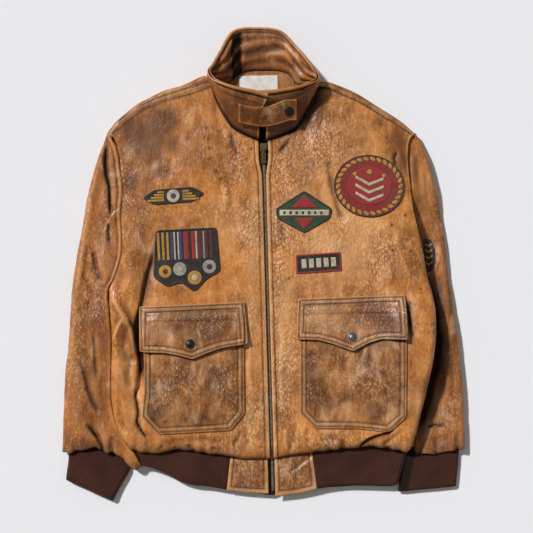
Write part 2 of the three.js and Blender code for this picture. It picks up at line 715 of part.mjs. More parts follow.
// Hem tabs: leather ends of the hem, either side of the zip
const TAB_Z = 11.4;
const TAB_LOW_Y = -374;
const tabFall = (w) => 2.2 * ease((w - 0.6) / 0.4);
const tabs = {
  right: { top: [[-55, -316], [-20, -317], [7, -317]], low: [[-61, -370], [-31, -373.5], [8.5, -376]] },
  left: { top: [[80, -309], [50, -313], [17, -316]], low: [[88, -368.5], [53, -376], [19, -380]] },
};
for (const side of ['right', 'left']) {
  const top = curve(tabs[side].top);
  const low = curve(tabs[side].low);
  const grid = [];
  for (let i = 0; i <= 5; i++) {
    const row = [];
    for (let j = 0; j <= 7; j++) {
      const w = i / 5;
      const u = j / 7;
      const a = top(u);
      const b = low(u);
      const z = TAB_Z - tabFall(w) + 1.2 * Math.sin(Math.PI * w) * Math.sin(Math.PI * u);
      row.push([mix(a[0], b[0], w), mix(a[1], b[1], w), z]);
    }
    grid.push(row);
  }
  const inner = grid.map((row) => row.map((p) => [p[0], p[1], p[2] - 2.6]));
  add(`hem_tab_${side}`, solidFromGrids(grid, inner), 'leather');
}

// Collar: band from the neck seam up to its rim, tilted back, front ends overlapped
const collarBase = [
  [-8, 204.5, 28.2], [-25, 211, 28.2], [-42, 220, 28.4], [-54, 231, 28.4], [-66, 250, 28.2], [-76, 271, 27.6], [-84, 293, 26.4],
  [-80, 306, 18], [-58, 321, 8], [-30, 327, 4], [0, 328.5, 3.4], [30, 327, 4], [58, 321, 8],
  [80, 306, 18], [86, 293, 26.4], [78, 271, 27.6], [67, 248, 28.2], [54, 226, 28.4], [42, 217.5, 28.4], [26, 211, 28.2], [4, 203.5, 28],
];
const collarRim = [
  [7, 273.5, 66], [-15, 279, 66], [-38, 283.5, 65], [-58, 289, 62], [-74, 294.5, 57], [-84, 301, 51], [-89, 311, 45],
  [-84, 324, 40], [-73, 345, 33], [-58, 371, 24], [-10, 382, 17], [32, 375, 20], [55, 353, 29],
  [75, 328, 37], [87, 307, 43], [85, 297, 50], [72, 291, 56], [54, 286.5, 59], [38, 283.5, 60], [18, 280.5, 60], [-8, 279, 58],
];
const COLLAR_COLS = 38;
const COLLAR_ROWS = 4;
const curve3 = (pts) => {
  const c = new THREE.CatmullRomCurve3(pts.map((p) => new THREE.Vector3(...p)));
  c.arcLengthDivisions = 400;
  return (t) => c.getPoint(clamp(t));
};
const baseCurve = curve3(collarBase);
const rimCurve = curve3(collarRim);

// Point on the collar's outer face: t along it from the right end to the left, w from seam to rim
function collarAt(t, w) {
  const b = baseCurve(t);
  const r = rimCurve(t);
  const p = b.clone().lerp(r, w);
  const centre = new THREE.Vector3(0, 262, p.z);
  const out = p.clone().sub(centre).setZ(0).normalize();
  const side = ease((Math.abs(b.x) - 45) / 35);
  p.addScaledVector(out, 5 * side * Math.sin(Math.PI * w));
  p.z += 3 * (1 - side) * Math.sin(Math.PI * w);
  return p;
}
const collarGrid = [];
for (let i = 0; i <= COLLAR_ROWS; i++) {
  const row = [];
  for (let j = 0; j <= COLLAR_COLS; j++) {
    row.push(collarAt(j / COLLAR_COLS, i / COLLAR_ROWS).toArray());
  }
  collarGrid.push(row);
}
const FRONT_OUT = { at: [2, 3], dir: [0, -0.4, 0.9] };
add('collar', solidFromGrids(collarGrid, moved(collarGrid, -COLLAR_WALL, FRONT_OUT)), 'leather');

// Neck facing and bare label on the inside of the back
const facing = [[-47, 319], [47, 319], [52, 285], [44, 258], [-44, 258], [-52, 285]];
add('neck_facing', fromManifold(prism(facing, SHEET + SEAM, SHEET + SEAM + 1.4)), 'leather');
const LABEL_Z = SHEET + SEAM + 1.4 + 0.3;
const label = [[-40, 310], [23, 311], [23.5, 279], [-39.5, 278]];
add('label', fromManifold(prism(label, LABEL_Z, LABEL_Z + 0.9)), 'label');

// Throat strap over the overlapped collar ends, and its snap
const STRAP_FROM = -41;
const STRAP_TO = 54;
const strapGrid = [];
for (let i = 0; i <= 4; i++) {
  const row = [];
  for (let j = 0; j <= 12; j++) {
    const u = j / 12;
    const x = mix(STRAP_FROM, STRAP_TO, u);
    const low = mix(229, 232, u) - 8.5 * Math.sin(Math.PI * clamp(u * 1.15));
    const high = mix(259, 266, u) - 9 * Math.sin(Math.PI * clamp(u * 1.3));
    const y = mix(low, high, i / 4);
    row.push([x, y, 0]);
  }
  strapGrid.push(row);
}
function collarTop(x, y) {
  let z = -Infinity;
  for (let k = 0; k <= 120; k++) {
    const t = k < 60 ? (k / 60) * 0.3 : 0.7 + ((k - 60) / 60) * 0.3;
    for (let w = 0; w <= 1.0001; w += 0.05) {
      const p = collarAt(t, w);
      const d = Math.hypot(p.x - x, p.y - y);
      if (d < 6) {
        z = Math.max(z, p.z);
      }
    }
  }
  return z;
}
for (const row of strapGrid) {
  for (const p of row) {
    p[2] = collarTop(p[0], p[1]) + 0.9;
  }
}
const strapTop = strapGrid.map((row) => row.map((p) => [p[0], p[1], p[2] + 2.4]));
add('throat_strap', solidFromGrids(strapTop, strapGrid), 'leather');

// Snap caps: shallow domes that sit on their piece
function snapCap(x, y, z) {
  const profile = [[0, 0], [7.4, 0], [7.5, 0.9], [6.6, 1.6], [4.2, 2.3], [0, 2.6]];
  const g = new THREE.LatheGeometry(profile.map((p) => new THREE.Vector2(p[0], p[1])), 16);
  g.rotateX(Math.PI / 2);
  g.translate(x, y, z);
  return g;
}
let strapZ = -Infinity;
for (const row of strapTop) {
  for (const p of row) {
    if (Math.hypot(p[0] - 41, p[1] - 246) < 16) {
      strapZ = Math.max(strapZ, p[2]);
    }
  }
}
const strapSnap = snapCap(0, 0, 0);
strapSnap.translate(41, 246, strapZ + 0.3);
add('strap_snap', strapSnap, 'snap');

// Zip: two tapes under the front edges, the closed row of teeth, the slider and its pull
const zipZ = (y) => {
  const w = (HEM_Y - y) / (HEM_Y - TAB_LOW_Y);
  return TAB_Z - tabFall(w) + (ZIP_Z - TAB_Z) * swell((y - HEM_Y - 5) / HEM_PUFF);
};
const zipYs = [TAB_LOW_Y, -352, -340, -326];
for (let i = 0; i <= 17; i++) {
  zipYs.push(i < 5 ? HEM_Y + 5 + 7 * i : mix(HEM_Y + 40, THROAT_Y - 4, (i - 5) / 12));
}
function strip(xa, xb, za, zb) {
  const top = zipYs.map((y) => [xa, xb].map((x) => [zipX(y) + x, y, zipZ(y) + zb]));
  const low = zipYs.map((y) => [xa, xb].map((x) => [zipX(y) + x, y, zipZ(y) + za]));
  return solidFromGrids(top, low);
}
add('zip_tape_right', strip(-13, -0.2, -4.4, -3.2), 'tape');
add('zip_tape_left', strip(0.2, 13, -4.4, -3.2), 'tape');
add('zip_chain', strip(-2.5, 2.5, -2.8, -0.6), 'brass');

// Slider: a channel over the teeth with two cheeks that carry the pull's pin
const SLIDER_Y = 190.5;
const SLIDER_LONG = 13;
const SLIDER_HALF = 5.6;
const sliderX = zipX(SLIDER_Y);
const sliderZ = ZIP_Z - 2.7;
const PIN_Z = sliderZ + 7.4;
const PIN_Y = SLIDER_Y - 3.2;
const { Manifold } = wasm;
const box = (x0, x1, y0, y1, z0, z1) => Manifold.cube([x1 - x0, y1 - y0, z1 - z0]).translate([x0, y0, z0]);
const rodX = (r, half, y, z) => Manifold.cylinder(2 * half, r, r, 28, true).rotate([0, 90, 0]).translate([sliderX, y, z]);
const sy0 = SLIDER_Y - SLIDER_LONG / 2;
const sy1 = SLIDER_Y + SLIDER_LONG / 2;
const slider = box(sliderX - SLIDER_HALF, sliderX + SLIDER_HALF, sy0, sy1, sliderZ, sliderZ + 5)
  .subtract(box(sliderX - 3.1, sliderX + 3.1, sy0 - 1, sy1 + 1, sliderZ - 1, sliderZ + 3))
  .add(box(sliderX - 4, sliderX - 2.6, PIN_Y - 2, PIN_Y + 2, sliderZ + 4.5, PIN_Z + 1.6))
  .add(box(sliderX + 2.6, sliderX + 4, PIN_Y - 2, PIN_Y + 2, sliderZ + 4.5, PIN_Z + 1.6))
  .add(rodX(0.8, 3.3, PIN_Y, PIN_Z));
add('zip_slider', fromManifold(slider), 'brass');

// Pull tab: an eye round the pin and a flat tab that hangs down the front
const PULL_LONG = 22;
const PULL_HALF = 4.1;
const pull = rodX(1.9, 2.2, PIN_Y, PIN_Z)
  .add(box(sliderX - 2.2, sliderX + 2.2, PIN_Y - 8, PIN_Y, PIN_Z - 0.8, PIN_Z + 0.8))
  .add(box(sliderX - PULL_HALF, sliderX + PULL_HALF, PIN_Y - PULL_LONG, PIN_Y - 6, PIN_Z - 0.8, PIN_Z + 0.8))
  .subtract(rodX(1.2, 5, PIN_Y, PIN_Z))
  .subtract(box(sliderX - 1.4, sliderX + 1.4, PIN_Y - PULL_LONG + 3, PIN_Y - PULL_LONG + 8, 0, 99));
const PULL_TILT = 8;
const hung = pull.translate([0, -PIN_Y, -PIN_Z]).rotate([PULL_TILT, 0, 0]).translate([0, PIN_Y, PIN_Z]);
add('zip_pull', fromManifold(hung), 'brass');

// Patch pockets, made of the front's own points moved out, with a pointed flap and a snap
const pockets = {
  right: {
    body: [[-195, -84], [-195, -211], [-199, -248], [-173, -277], [-53, -270], [-31, -243], [-32, -80]],
    flap: [[-203, -69], [-31, -61], [-25, -129], [-69, -136], [-94, -145], [-115, -154], [-136, -148], [-159, -144], [-202, -143]],
    band: [[-203, -69], [-31, -61], [-31, -72], [-203, -80]],
    centre: [-115, -180],
    snap: [-119, -129],
  },
  left: {
    body: [[59, -72], [59, -243], [83, -267], [148, -267], [204, -272], [231, -248], [230, -68]],
    flap: [[56, -56], [229, -49], [232, -121], [191, -121], [171, -127], [145, -141], [112, -129], [89, -123], [53, -122]],
    band: [[56, -56], [229, -49], [229, -60], [56, -67]],
    centre: [145, -170],
    snap: [144, -118],
  },
};
for (const side of ['right', 'left']) {
  const p = pockets[side];
  const panel = fronts[side];
  const bulge = (x, y) => 4 * ease(1 - Math.abs(x - p.centre[0]) / 92) * ease(1 - Math.abs(y - p.centre[1]) / 105);
  const lift = (x, y) => SEAM + bulge(x, y);
  const flapLift = (x, y) => lift(x, y) + WALL + SEAM + 1.5 * ease((-80 - y) / 70);
  add(`pocket_${side}`, fromManifold(cutOn(panel, p.body, lift, WALL)), 'leather');
  const flap = cutOn(panel, p.flap, flapLift, FLAP);
  const band = cutOn(panel, p.band, lift, WALL + SEAM + 1);
  add(`flap_${side}`, fromManifold(flap.add(band)), 'leather');
  let z = -Infinity;
  for (let k = 0; k < 24; k++) {
    for (const r of [0, 4, 7.6]) {
      const x = p.snap[0] + r * Math.cos((k * Math.PI) / 12);
      const y = p.snap[1] + r * Math.sin((k * Math.PI) / 12);
      z = Math.max(z, heightOn(panel, x, y) + flapLift(x, y) + FLAP);
    }
  }
  add(`snap_${side}`, snapCap(p.snap[0], p.snap[1], z + 0.6), 'snap');
}

// Cloth badges, made of the panel's own points moved out
function ellipse(cx, cy, a, b, turn, n) {
  const out = [];
  for (let k = 0; k < n; k++) {
    const t = (2 * Math.PI * k) / n;
    const [x, y] = [a * Math.cos(t), b * Math.sin(t)];
    out.push([cx + x * Math.cos(turn) - y * Math.sin(turn), cy + x * Math.sin(turn) + y * Math.cos(turn)]);
  }
  return out;
}
const lozenge = [[-198, 107], [-178, 121], [-116, 126], [-95, 115], [-116, 101], [-178, 96]];
const ribbons = [[-176, 55], [-76, 60], [-70, -12], [-92, -24], [-112, -46], [-134, -30], [-156, -38], [-180, -22]];
const diamond = [[66, 120], [112, 90], [108, 74], [66, 50], [22, 74], [19, 90]];
const bars = [[52, 15], [125, 20], [127, -11], [53, -16]];
const sleevePatch = [[262, 42], [275, 41], [281, 24], [282, 4], [276, -12], [266, -12]];
const badge = (name, panel, outline) =>
  add(name, fromManifold(cutOn(panel, outline, () => SEAM, BADGE)), 'badge');
badge('badge_lozenge', fronts.right, lozenge);
badge('badge_ribbons', fronts.right, ribbons);
badge('badge_diamond', fronts.left, diamond);
badge('badge_bars', fronts.left, bars);
badge('badge_oval', fronts.left, ellipse(172, 127, 58, 51, -0.1, 28));
badge('badge_sleeve', sleeves.left, sleevePatch);

export default part;
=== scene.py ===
import math
import bpy
import numpy as np
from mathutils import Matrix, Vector, noise
from mathutils.bvhtree import BVHTree
from mathutils.geometry import delaunay_2d_cdt


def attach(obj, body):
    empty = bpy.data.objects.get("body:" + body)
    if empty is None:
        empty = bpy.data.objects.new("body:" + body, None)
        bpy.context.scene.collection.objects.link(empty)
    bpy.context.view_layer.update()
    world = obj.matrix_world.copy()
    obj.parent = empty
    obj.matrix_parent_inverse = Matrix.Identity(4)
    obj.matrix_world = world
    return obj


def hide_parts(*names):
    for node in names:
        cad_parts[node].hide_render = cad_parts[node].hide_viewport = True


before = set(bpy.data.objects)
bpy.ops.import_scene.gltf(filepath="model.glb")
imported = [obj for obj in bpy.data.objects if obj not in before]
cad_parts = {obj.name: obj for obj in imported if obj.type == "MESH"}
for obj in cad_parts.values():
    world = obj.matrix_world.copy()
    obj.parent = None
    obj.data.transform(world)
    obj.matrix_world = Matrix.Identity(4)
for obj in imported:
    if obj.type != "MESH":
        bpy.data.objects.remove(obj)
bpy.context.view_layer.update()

# Studio: the jacket lies on a pale floor, seen from straight above, with one hard
# light from the upper left and a dim even fill. All sizes below are in millimetres.
MM = 0.001
CAMERA_AT = (4.5, -3.7, 2076.6)
LIGHT_FROM = (-0.80, 0.72, 0.92)
scene = bpy.context.scene
scene.view_settings.view_transform = "Standard"

camera_data = bpy.data.cameras.new("camera")
camera_data.lens = 85
camera_data.sensor_width = 36
camera = bpy.data.objects.new("camera", camera_data)
camera.location = [c * MM for c in CAMERA_AT]
scene.collection.objects.link(camera)
scene.camera = camera

sun_data = bpy.data.lights.new("key", "SUN")
sun_data.energy = 3.7
sun_data.angle = math.radians(5)
sun = bpy.data.objects.new("key", sun_data)
sun.rotation_euler = Vector(LIGHT_FROM).to_track_quat("Z", "Y").to_euler()
scene.collection.objects.link(sun)

world = bpy.data.worlds.new("fill")
world.use_nodes = True
world.node_tree.nodes["Background"].inputs["Color"].default_value = (1.08, 1.0, 0.9, 1)
world.node_tree.nodes["Background"].inputs["Strength"].default_value = 0.23
scene.world = world

floor_mesh = bpy.data.meshes.new("floor")
FLOOR_REACH = 14.0
FLOOR_Z = -0.6 * MM
floor_corners = [(a * FLOOR_REACH, b * FLOOR_REACH, FLOOR_Z) for a, b in ((-1, -1), (1, -1), (1, 1), (-1, 1))]
floor_mesh.from_pydata(floor_corners, [], [(0, 1, 2, 3)])
floor = bpy.data.objects.new("floor", floor_mesh)
scene.collection.objects.link(floor)
floor_paint = bpy.data.materials.new("floor_paint")
floor_paint.use_nodes = True
floor_shader = floor_paint.node_tree.nodes["Principled BSDF"]
floor_shader.inputs["Base Color"].default_value = (0.803, 0.815, 0.852, 1)
floor_shader.inputs["Roughness"].default_value = 0.9
floor_shader.inputs["Specular IOR Level"].default_value = 0.1
floor_mesh.materials.append(floor_paint)


# Back: one hide panel that lies flat on the floor and rolls forward over both shoulders
# to a seam on the front. Oiled, tumbled leather, 2 mm, mottled and worn pale on its rolls.
def linear(r, g, b):
    """Linear colour of 8-bit screen values."""
    out = []
    for c in (r, g, b):
        c = c / 255
        out.append(c / 12.92 if c <= 0.04045 else ((c + 0.055) / 1.055) ** 2.4)
    return (*out, 1.0)


class Tree:
    """Short hand to place and join nodes."""

    def __init__(self, tree):
        self.tree = tree

    def node(self, kind, at=(0, 0), **settings):
        n = self.tree.nodes.new(kind)
        n.location = at
        for key, value in settings.items():
            if hasattr(n, key):
                setattr(n, key, value)
            else:
                n.inputs[key.replace("_", " ")].default_value = value
        return n

    def join(self, a, b):
        self.tree.links.new(a, b)

    def place(self, at):
        return self.node("ShaderNodeTexCoord", at).outputs["Object"]

    def mark(self, name, at):
        return self.node("ShaderNodeAttribute", at, attribute_name=name).outputs["Fac"]

    def texture(self, kind, place, at, **settings):
        n = self.node("ShaderNodeTex" + kind, at, **settings)
        self.join(place, n.inputs["Vector"])
        return n

    def noise(self, place, at, **settings):
        return self.texture("Noise", place, at, **settings).outputs["Fac"]

    def scaled(self, place, by, at):
        n = self.node("ShaderNodeVectorMath", at, operation="MULTIPLY")
        self.join(place, n.inputs[0])
        n.inputs[1].default_value = by
        return n.outputs[0]

    def bump(self, height, rise, shader):
        n = self.node("ShaderNodeBump", (-300, -200), Distance=rise * MM)
        self.join(height, n.inputs["Height"])
        self.join(n.outputs["Normal"], shader.inputs["Normal"])

    def math(self, operation, a, b=None, clamp=False):
        n = self.tree.nodes.new("ShaderNodeMath")
        n.operation = operation
        n.use_clamp = clamp
        for slot, value in ((0, a), (1, b)):
            if value is None:
                continue
            if isinstance(value, (int, float)):
                n.inputs[slot].default_value = value
            else:
                self.join(value, n.inputs[slot])
        return n.outputs[0]

    def blend(self, factor, a, b, kind="MIX"):
        n = self.tree.nodes.new("ShaderNodeMix")
        n.data_type = "RGBA"
        n.blend_type = kind
        for slot, value in ((n.inputs[0], factor), (n.inputs[6], a), (n.inputs[7], b)):
            if isinstance(value, (int, float, tuple)):
                slot.default_value = value
            else:
                self.join(value, slot)
        return n.outputs[2]

    def band(self, value, low, high, to_low=0.0, to_high=1.0):
        n = self.tree.nodes.new("ShaderNodeMapRange")
        n.interpolation_type = "SMOOTHSTEP"
        self.join(value, n.inputs[0])
        n.inputs[1].default_value = low
        n.inputs[2].default_value = high
        n.inputs[3].default_value = to_low
        n.inputs[4].default_value = to_high
        return n.outputs[0]


def make_group(name, ins, outs):
    """Empty node group with named sockets."""
    g = bpy.data.node_groups.new(name, "ShaderNodeTree")
    for label, kind, value in ins:
        s = g.interface.new_socket(name=label, in_out="INPUT", socket_type=kind)
        s.default_value = value
    for label, kind in outs:
        g.interface.new_socket(name=label, in_out="OUTPUT", socket_type=kind)
    t = Tree(g)
    return g, t, t.node("NodeGroupInput", (-1400, 0)), t.node("NodeGroupOutput", (900, 0))


def new_paint(name, **constants):
    """Material with its node helper and its shader, the shader's constants set."""
    m = bpy.data.materials.new(name)
    m.use_nodes = True
    shader = m.node_tree.nodes["Principled BSDF"]
    for key, value in constants.items():
        shader.inputs[key.replace("_", " ")].default_value = value
    return m, Tree(m.node_tree), shader


COLOUR = "NodeSocketColor"
NUMBER = "NodeSocketFloat"

# Tumbled grain: long pebbles of about 4 mm with fine creases between them, in drifts
grain_group, t, gin, gout = make_group(
    "tumbled_grain",
    [("Pebble Scale", NUMBER, 270.0), ("Drift", NUMBER, 1.0)],
    [("Height", NUMBER), ("Groove", NUMBER), ("Tops", NUMBER)],
)
place = t.place((-1600, 300))
grain_mark = t.mark("grain", (-1600, -500))
wobble = t.texture("Noise", place, (-1400, 200), Scale=55.0, Detail=2.0)
shift = t.node("ShaderNodeVectorMath", (-1200, 200), operation="MULTIPLY_ADD")
t.join(wobble.outputs["Color"], shift.inputs[0])
shift.inputs[1].default_value = (0.012, 0.012, 0.012)
t.join(place, shift.inputs[2])
pull = t.scaled(shift.outputs[0], (1.0, 0.58, 1.0), (-1000, 200))
pebble = t.texture("Voronoi", pull, (-800, 300), feature="F1")
t.join(gin.outputs["Pebble Scale"], pebble.inputs["Scale"])
crack = t.texture("Voronoi", pull, (-800, 0), feature="DISTANCE_TO_EDGE")
t.join(t.math("MULTIPLY", gin.outputs["Pebble Scale"], 0.38), crack.inputs["Scale"])
drift = t.noise(place, (-800, -300), Scale=17.0, Detail=3.0)
streak_place = t.scaled(shift.outputs[0], (1.0, 0.22, 1.0), (-1000, -600))
streak = t.noise(streak_place, (-800, -600), Scale=330.0, Detail=3.0, Roughness=0.6)
amount = t.band(drift, 0.42, 0.68, 0.05, 0.4)
amount = t.math("ADD", amount, t.math("MULTIPLY", grain_mark, 0.85), True)
amount = t.math("MULTIPLY", amount, gin.outputs["Drift"])
dome = t.math("MULTIPLY", pebble.outputs["Distance"], pebble.outputs["Distance"])
bead = t.math("MULTIPLY", t.math("SUBTRACT", 1.0, dome), amount)
groove = t.math("MULTIPLY", t.band(crack.outputs["Distance"], 0.0, 0.08, 1.0, 0.0), amount)
between = t.math("MULTIPLY", t.band(pebble.outputs["Distance"], 0.38, 0.72), amount)
height = t.math("SUBTRACT", bead, t.math("MULTIPLY", groove, 0.1))
height = t.math("ADD", height, t.math("MULTIPLY", streak, 0.11))
t.join(height, gout.inputs["Height"])
t.join(t.math("MAXIMUM", between, groove), gout.inputs["Groove"])
# Pebble tops, which the dye paints with pale glints
tops = t.math("MULTIPLY", t.band(pebble.outputs["Distance"], 0.42, 0.12), amount)
t.join(tops, gout.inputs["Tops"])

# Dye with wear and painted light: two browns in clouds and pulled streaks, darker in stains, paler where
# rubbed, painted glints on the pebble tops, painted sheen streaks, and near-black painted shade in creases
# and cast shadows
dye_group, t, gin, gout = make_group(
    "worn_dye",
    [
        ("Tan", COLOUR, linear(176, 118, 72)),
        ("Dark", COLOUR, linear(112, 70, 42)),
        ("Pale", COLOUR, linear(206, 152, 104)),
        ("Groove", NUMBER, 0.0),
        ("Tops", NUMBER, 0.0),
        ("Clouds", NUMBER, 1.0),
    ],
    [("Color", COLOUR), ("Roughness", NUMBER), ("Shut", NUMBER)],
)
place = t.place((-1600, 500))
drawn = t.scaled(place, (1.0, 0.4, 1.0), (-1400, 100))
broad = t.noise(place, (-1200, 500), Scale=14.0, Detail=5.0, Roughness=0.62)
patchy = t.noise(drawn, (-1200, 250), Scale=58.0, Detail=7.0, Roughness=0.66, Distortion=0.6)
speck = t.noise(drawn, (-1200, 0), Scale=330.0, Detail=5.0, Roughness=0.7)
sheen_noise = t.noise(drawn, (-1200, -120), Scale=42.0, Detail=7.0, Roughness=0.68, Distortion=0.5)
deep = t.mark("deep", (-1200, -850))
stain = t.mark("stain", (-1200, -250))
rub = t.mark("rub", (-1200, -450))
trough = t.mark("trough", (-1200, -650))
cloud = t.band(broad, 0.42, 0.68, 0.0, 0.6)
cloud = t.math("MULTIPLY", cloud, gin.outputs["Clouds"])
colour = t.blend(cloud, gin.outputs["Tan"], gin.outputs["Dark"])
blotch = t.band(patchy, 0.47, 0.66, 0.0, 0.66)
colour = t.blend(t.math("MULTIPLY", blotch, gin.outputs["Clouds"]), colour, gin.outputs["Dark"])
light = t.band(patchy, 0.50, 0.30, 0.0, 0.55)
colour = t.blend(light, colour, gin.outputs["Pale"])
uneven = t.math("ADD", 0.55, t.math("MULTIPLY", patchy, 0.9))
# Deep: dye that stayed darker, and painted shade beside the right side's fold and in the body's shadow on the
# left sleeve
colour = t.blend(t.math("MULTIPLY", t.math("MULTIPLY", deep, uneven), 0.9, True), colour, gin.outputs["Dark"])
dots = t.band(speck, 0.53, 0.68, 0.0, 0.55)
colour = t.blend(dots, colour, gin.outputs["Dark"])
flecks = t.band(speck, 0.46, 0.32, 0.0, 0.38)
colour = t.blend(flecks, colour, gin.outputs["Pale"])
colour = t.blend(t.math("MULTIPLY", gin.outputs["Groove"], 0.75), colour, gin.outputs["Dark"])
# Painted glints: the pebble tops whitened
colour = t.blend(t.math("MULTIPLY", gin.outputs["Tops"], 0.6), colour, linear(244, 210, 178))
# Painted sheen: broad pale streaks over the leather
painted_sheen = t.band(sheen_noise, 0.52, 0.72, 0.0, 0.5)
colour = t.blend(painted_sheen, colour, linear(228, 182, 142))
# Paler where rubbed, and painted sheen and highlights where the pale spots, the collar sheen and the sleeve
# welt stand for them
colour = t.blend(t.math("MULTIPLY", rub, 0.6, True), colour, gin.outputs["Pale"])
ragged = t.math("MULTIPLY", t.math("SUBTRACT", patchy, 0.5), 1.5)
edge_of_stain = t.math("MULTIPLY", stain, t.math("ADD", 1.0, ragged))
# Stains, and painted shade where the mark stands for it: beside the collar and on the collar front
colour = t.blend(t.band(edge_of_stain, 0.15, 0.95, 0.0, 0.82), colour, linear(94, 50, 15))
# Painted shade: near-black in creases and folds, under the flaps and in cast shadows, with the dark seams
colour = t.blend(t.math("MULTIPLY", trough, 0.95, True), colour, linear(26, 13, 6))
rough = t.band(patchy, 0.3, 0.7, 0.33, 0.49)
rough = t.math("SUBTRACT", rough, t.math("MULTIPLY", gin.outputs["Tops"], 0.06))
rough = t.math("ADD", rough, t.math("MULTIPLY", trough, 0.15))
rough = t.math("ADD", rough, t.math("MULTIPLY", stain, 0.06), True)
t.join(colour, gout.inputs["Color"])
t.join(rough, gout.inputs["Roughness"])
t.join(t.band(trough, 0.6, 1.0, 0.0, 0.9), gout.inputs["Shut"])


def leather(name, tan, dark, pale, pebble_scale=270.0, drift=1.0, clouds=1.0, relief=1.3, shine=0.45):
    """Leather of one panel: dye with wear and painted light, over tumbled grain."""
    m, t, shader = new_paint(name, Specular_IOR_Level=shine)
    grain = t.node("ShaderNodeGroup", (-800, 0), node_tree=grain_group, Drift=drift)
    grain.inputs["Pebble Scale"].default_value = pebble_scale
    dye = t.node("ShaderNodeGroup", (-500, 200), node_tree=dye_group, Clouds=clouds)
    for label, colour in (("Tan", tan), ("Dark", dark), ("Pale", pale)):
        dye.inputs[label].default_value = linear(*colour)
    t.join(grain.outputs["Groove"], dye.inputs["Groove"])
    t.join(grain.outputs["Tops"], dye.inputs["Tops"])
    t.bump(grain.outputs["Height"], relief, shader)
    t.join(dye.outputs["Color"], shader.inputs["Base Color"])
    t.join(dye.outputs["Roughness"], shader.inputs["Roughness"])
    # Where the painted shade is deepest the leather is made metallic, so its near-black gives back no sheen
    t.join(dye.outputs["Shut"], shader.inputs["Metallic"])
    return m


def ease(t):
    """Soft step from 0 to 1."""
    c = np.clip(t, 0, 1)
    return c * c * (3 - 2 * c)


def swell(t):
    """Quarter round from 0 to 1."""
    c = 1 - np.clip(t, 0, 1)
    return np.sqrt(1 - c * c)


def mix(a, b, t):
    return a + (b - a) * t


def unit(a):
    return np.clip(a, 0, 1)


def bell(d, at, wide):
    """Soft ridge of height 1."""
    return np.exp(-(((d - at) / wide) ** 2))


def through(points, even=True):
    """Smooth curve through points, by arc length (even) or by point number."""
    p = np.array(points, float)
    n = len(p) - 1
    s = np.linspace(0, n, 60 * n + 1)
    i = np.minimum(s.astype(int), n - 1)
    w = (s - i)[:, None]
    p0, p1 = p[np.maximum(i - 1, 0)], p[i]
    p2, p3 = p[i + 1], p[np.minimum(i + 2, n)]
    v1, v2 = (p2 - p0) / 2, (p3 - p1) / 2
    fine = (2 * p1 - 2 * p2 + v1 + v2) * w**3 + (-3 * p1 + 3 * p2 - 2 * v1 - v2) * w**2 + v1 * w + p1
    length = np.concatenate([[0], np.cumsum(np.linalg.norm(np.diff(fine, axis=0), axis=1))])
    key = length / length[-1] if even else s / n

    def at(t):
        t = unit(np.asarray(t, float))
        return np.stack([np.interp(t, key, fine[:, k]) for k in range(fine.shape[1])], axis=-1)

    return at


def joined(first, second, share):
    """Two curves end to end, the first up to t = share."""

    def at(t):
        t = np.asarray(t, float)
        near = (t < share)[..., None]
        return np.where(near, first(t / share), second((t - share) / (1 - share)))

    return at


def coons(low, high, near, far):
    """Patch between four plan curves: low(u), high(u), near(v), far(v)."""

    def at(u, v):
        a, b, c, d = low(u), high(u), near(v), far(v)
        u, v = u[..., None], v[..., None]
        p00, p10, p01, p11 = low(0.0), low(1.0), high(0.0), high(1.0)
        corners = mix(mix(p00, p10, u), mix(p01, p11, u), v)
        return mix(a, b, v) + mix(c, d, u) - corners

    return at


def folded(folds, x, y):
    """Height of soft folds, also the depth of painted shade along folds: path, width, rise, and lean, which
    makes one side steeper.
    """
    z = np.zeros_like(x)
    for path, wide, rise, *lean in folds:
        lean = lean[0] if lean else 0.0
        best = np.full_like(x, 1e9)
        along = np.zeros_like(x)
        side = np.zeros_like(x)
        n = len(path) - 1
        for i in range(n):
            (ax, ay), (bx, by) = path[i], path[i + 1]
            dx, dy = bx - ax, by - ay
            t = unit(((x - ax) * dx + (y - ay) * dy) / (dx * dx + dy * dy))
            ex, ey = x - ax - t * dx, y - ay - t * dy
            d = np.hypot(ex, ey)
            near = d < best
            best = np.where(near, d, best)
            along = np.where(near, (i + t) / n, along)
            side = np.where(near, np.sign(dx * ey - dy * ex), side)
        w = wide * (1 + lean * side)
        z += rise * bell(best, 0, w) * ease(along / 0.2) * ease((1 - along) / 0.2)
    return z


def hide_noise(points, seed, sizes):
    """Uneven hide: layers of smooth noise, each with its size across and its rise."""
    flat = points.reshape(-1, 3)
    out = np.zeros(len(flat))
    for k, (size, rise) in enumerate(sizes):
        q = flat / size
        out += rise * np.array([noise.noise((a, b, c + seed + 7.3 * k)) for a, b, c in q.tolist()])
    return out.reshape(points.shape[:-1])


def crumple(x, y, seed, sizes):
    """The same in plan."""
    return hide_noise(np.stack([x, y, np.zeros_like(x)], axis=-1), seed, sizes)


def blurred(z, radius):
    """Box blur of a height grid, twice."""
    for _ in range(2):
        for axis in (0, 1):
            pad = [(0, 0), (0, 0)]
            pad[axis] = (radius + 1, radius)
            c = np.cumsum(np.pad(z, pad, mode="edge"), axis=axis)
            k = 2 * radius + 1
            a = np.take(c, range(k, c.shape[axis]), axis=axis)
            b = np.take(c, range(0, c.shape[axis] - k), axis=axis)
            z = (a - b) / k
    return z


def grid_normals(p):
    du = np.gradient(p, axis=1)
    dv = np.gradient(p, axis=0)
    n = np.cross(du, dv)
    n /= np.maximum(np.linalg.norm(n, axis=-1, keepdims=True), 1e-9)
    return n


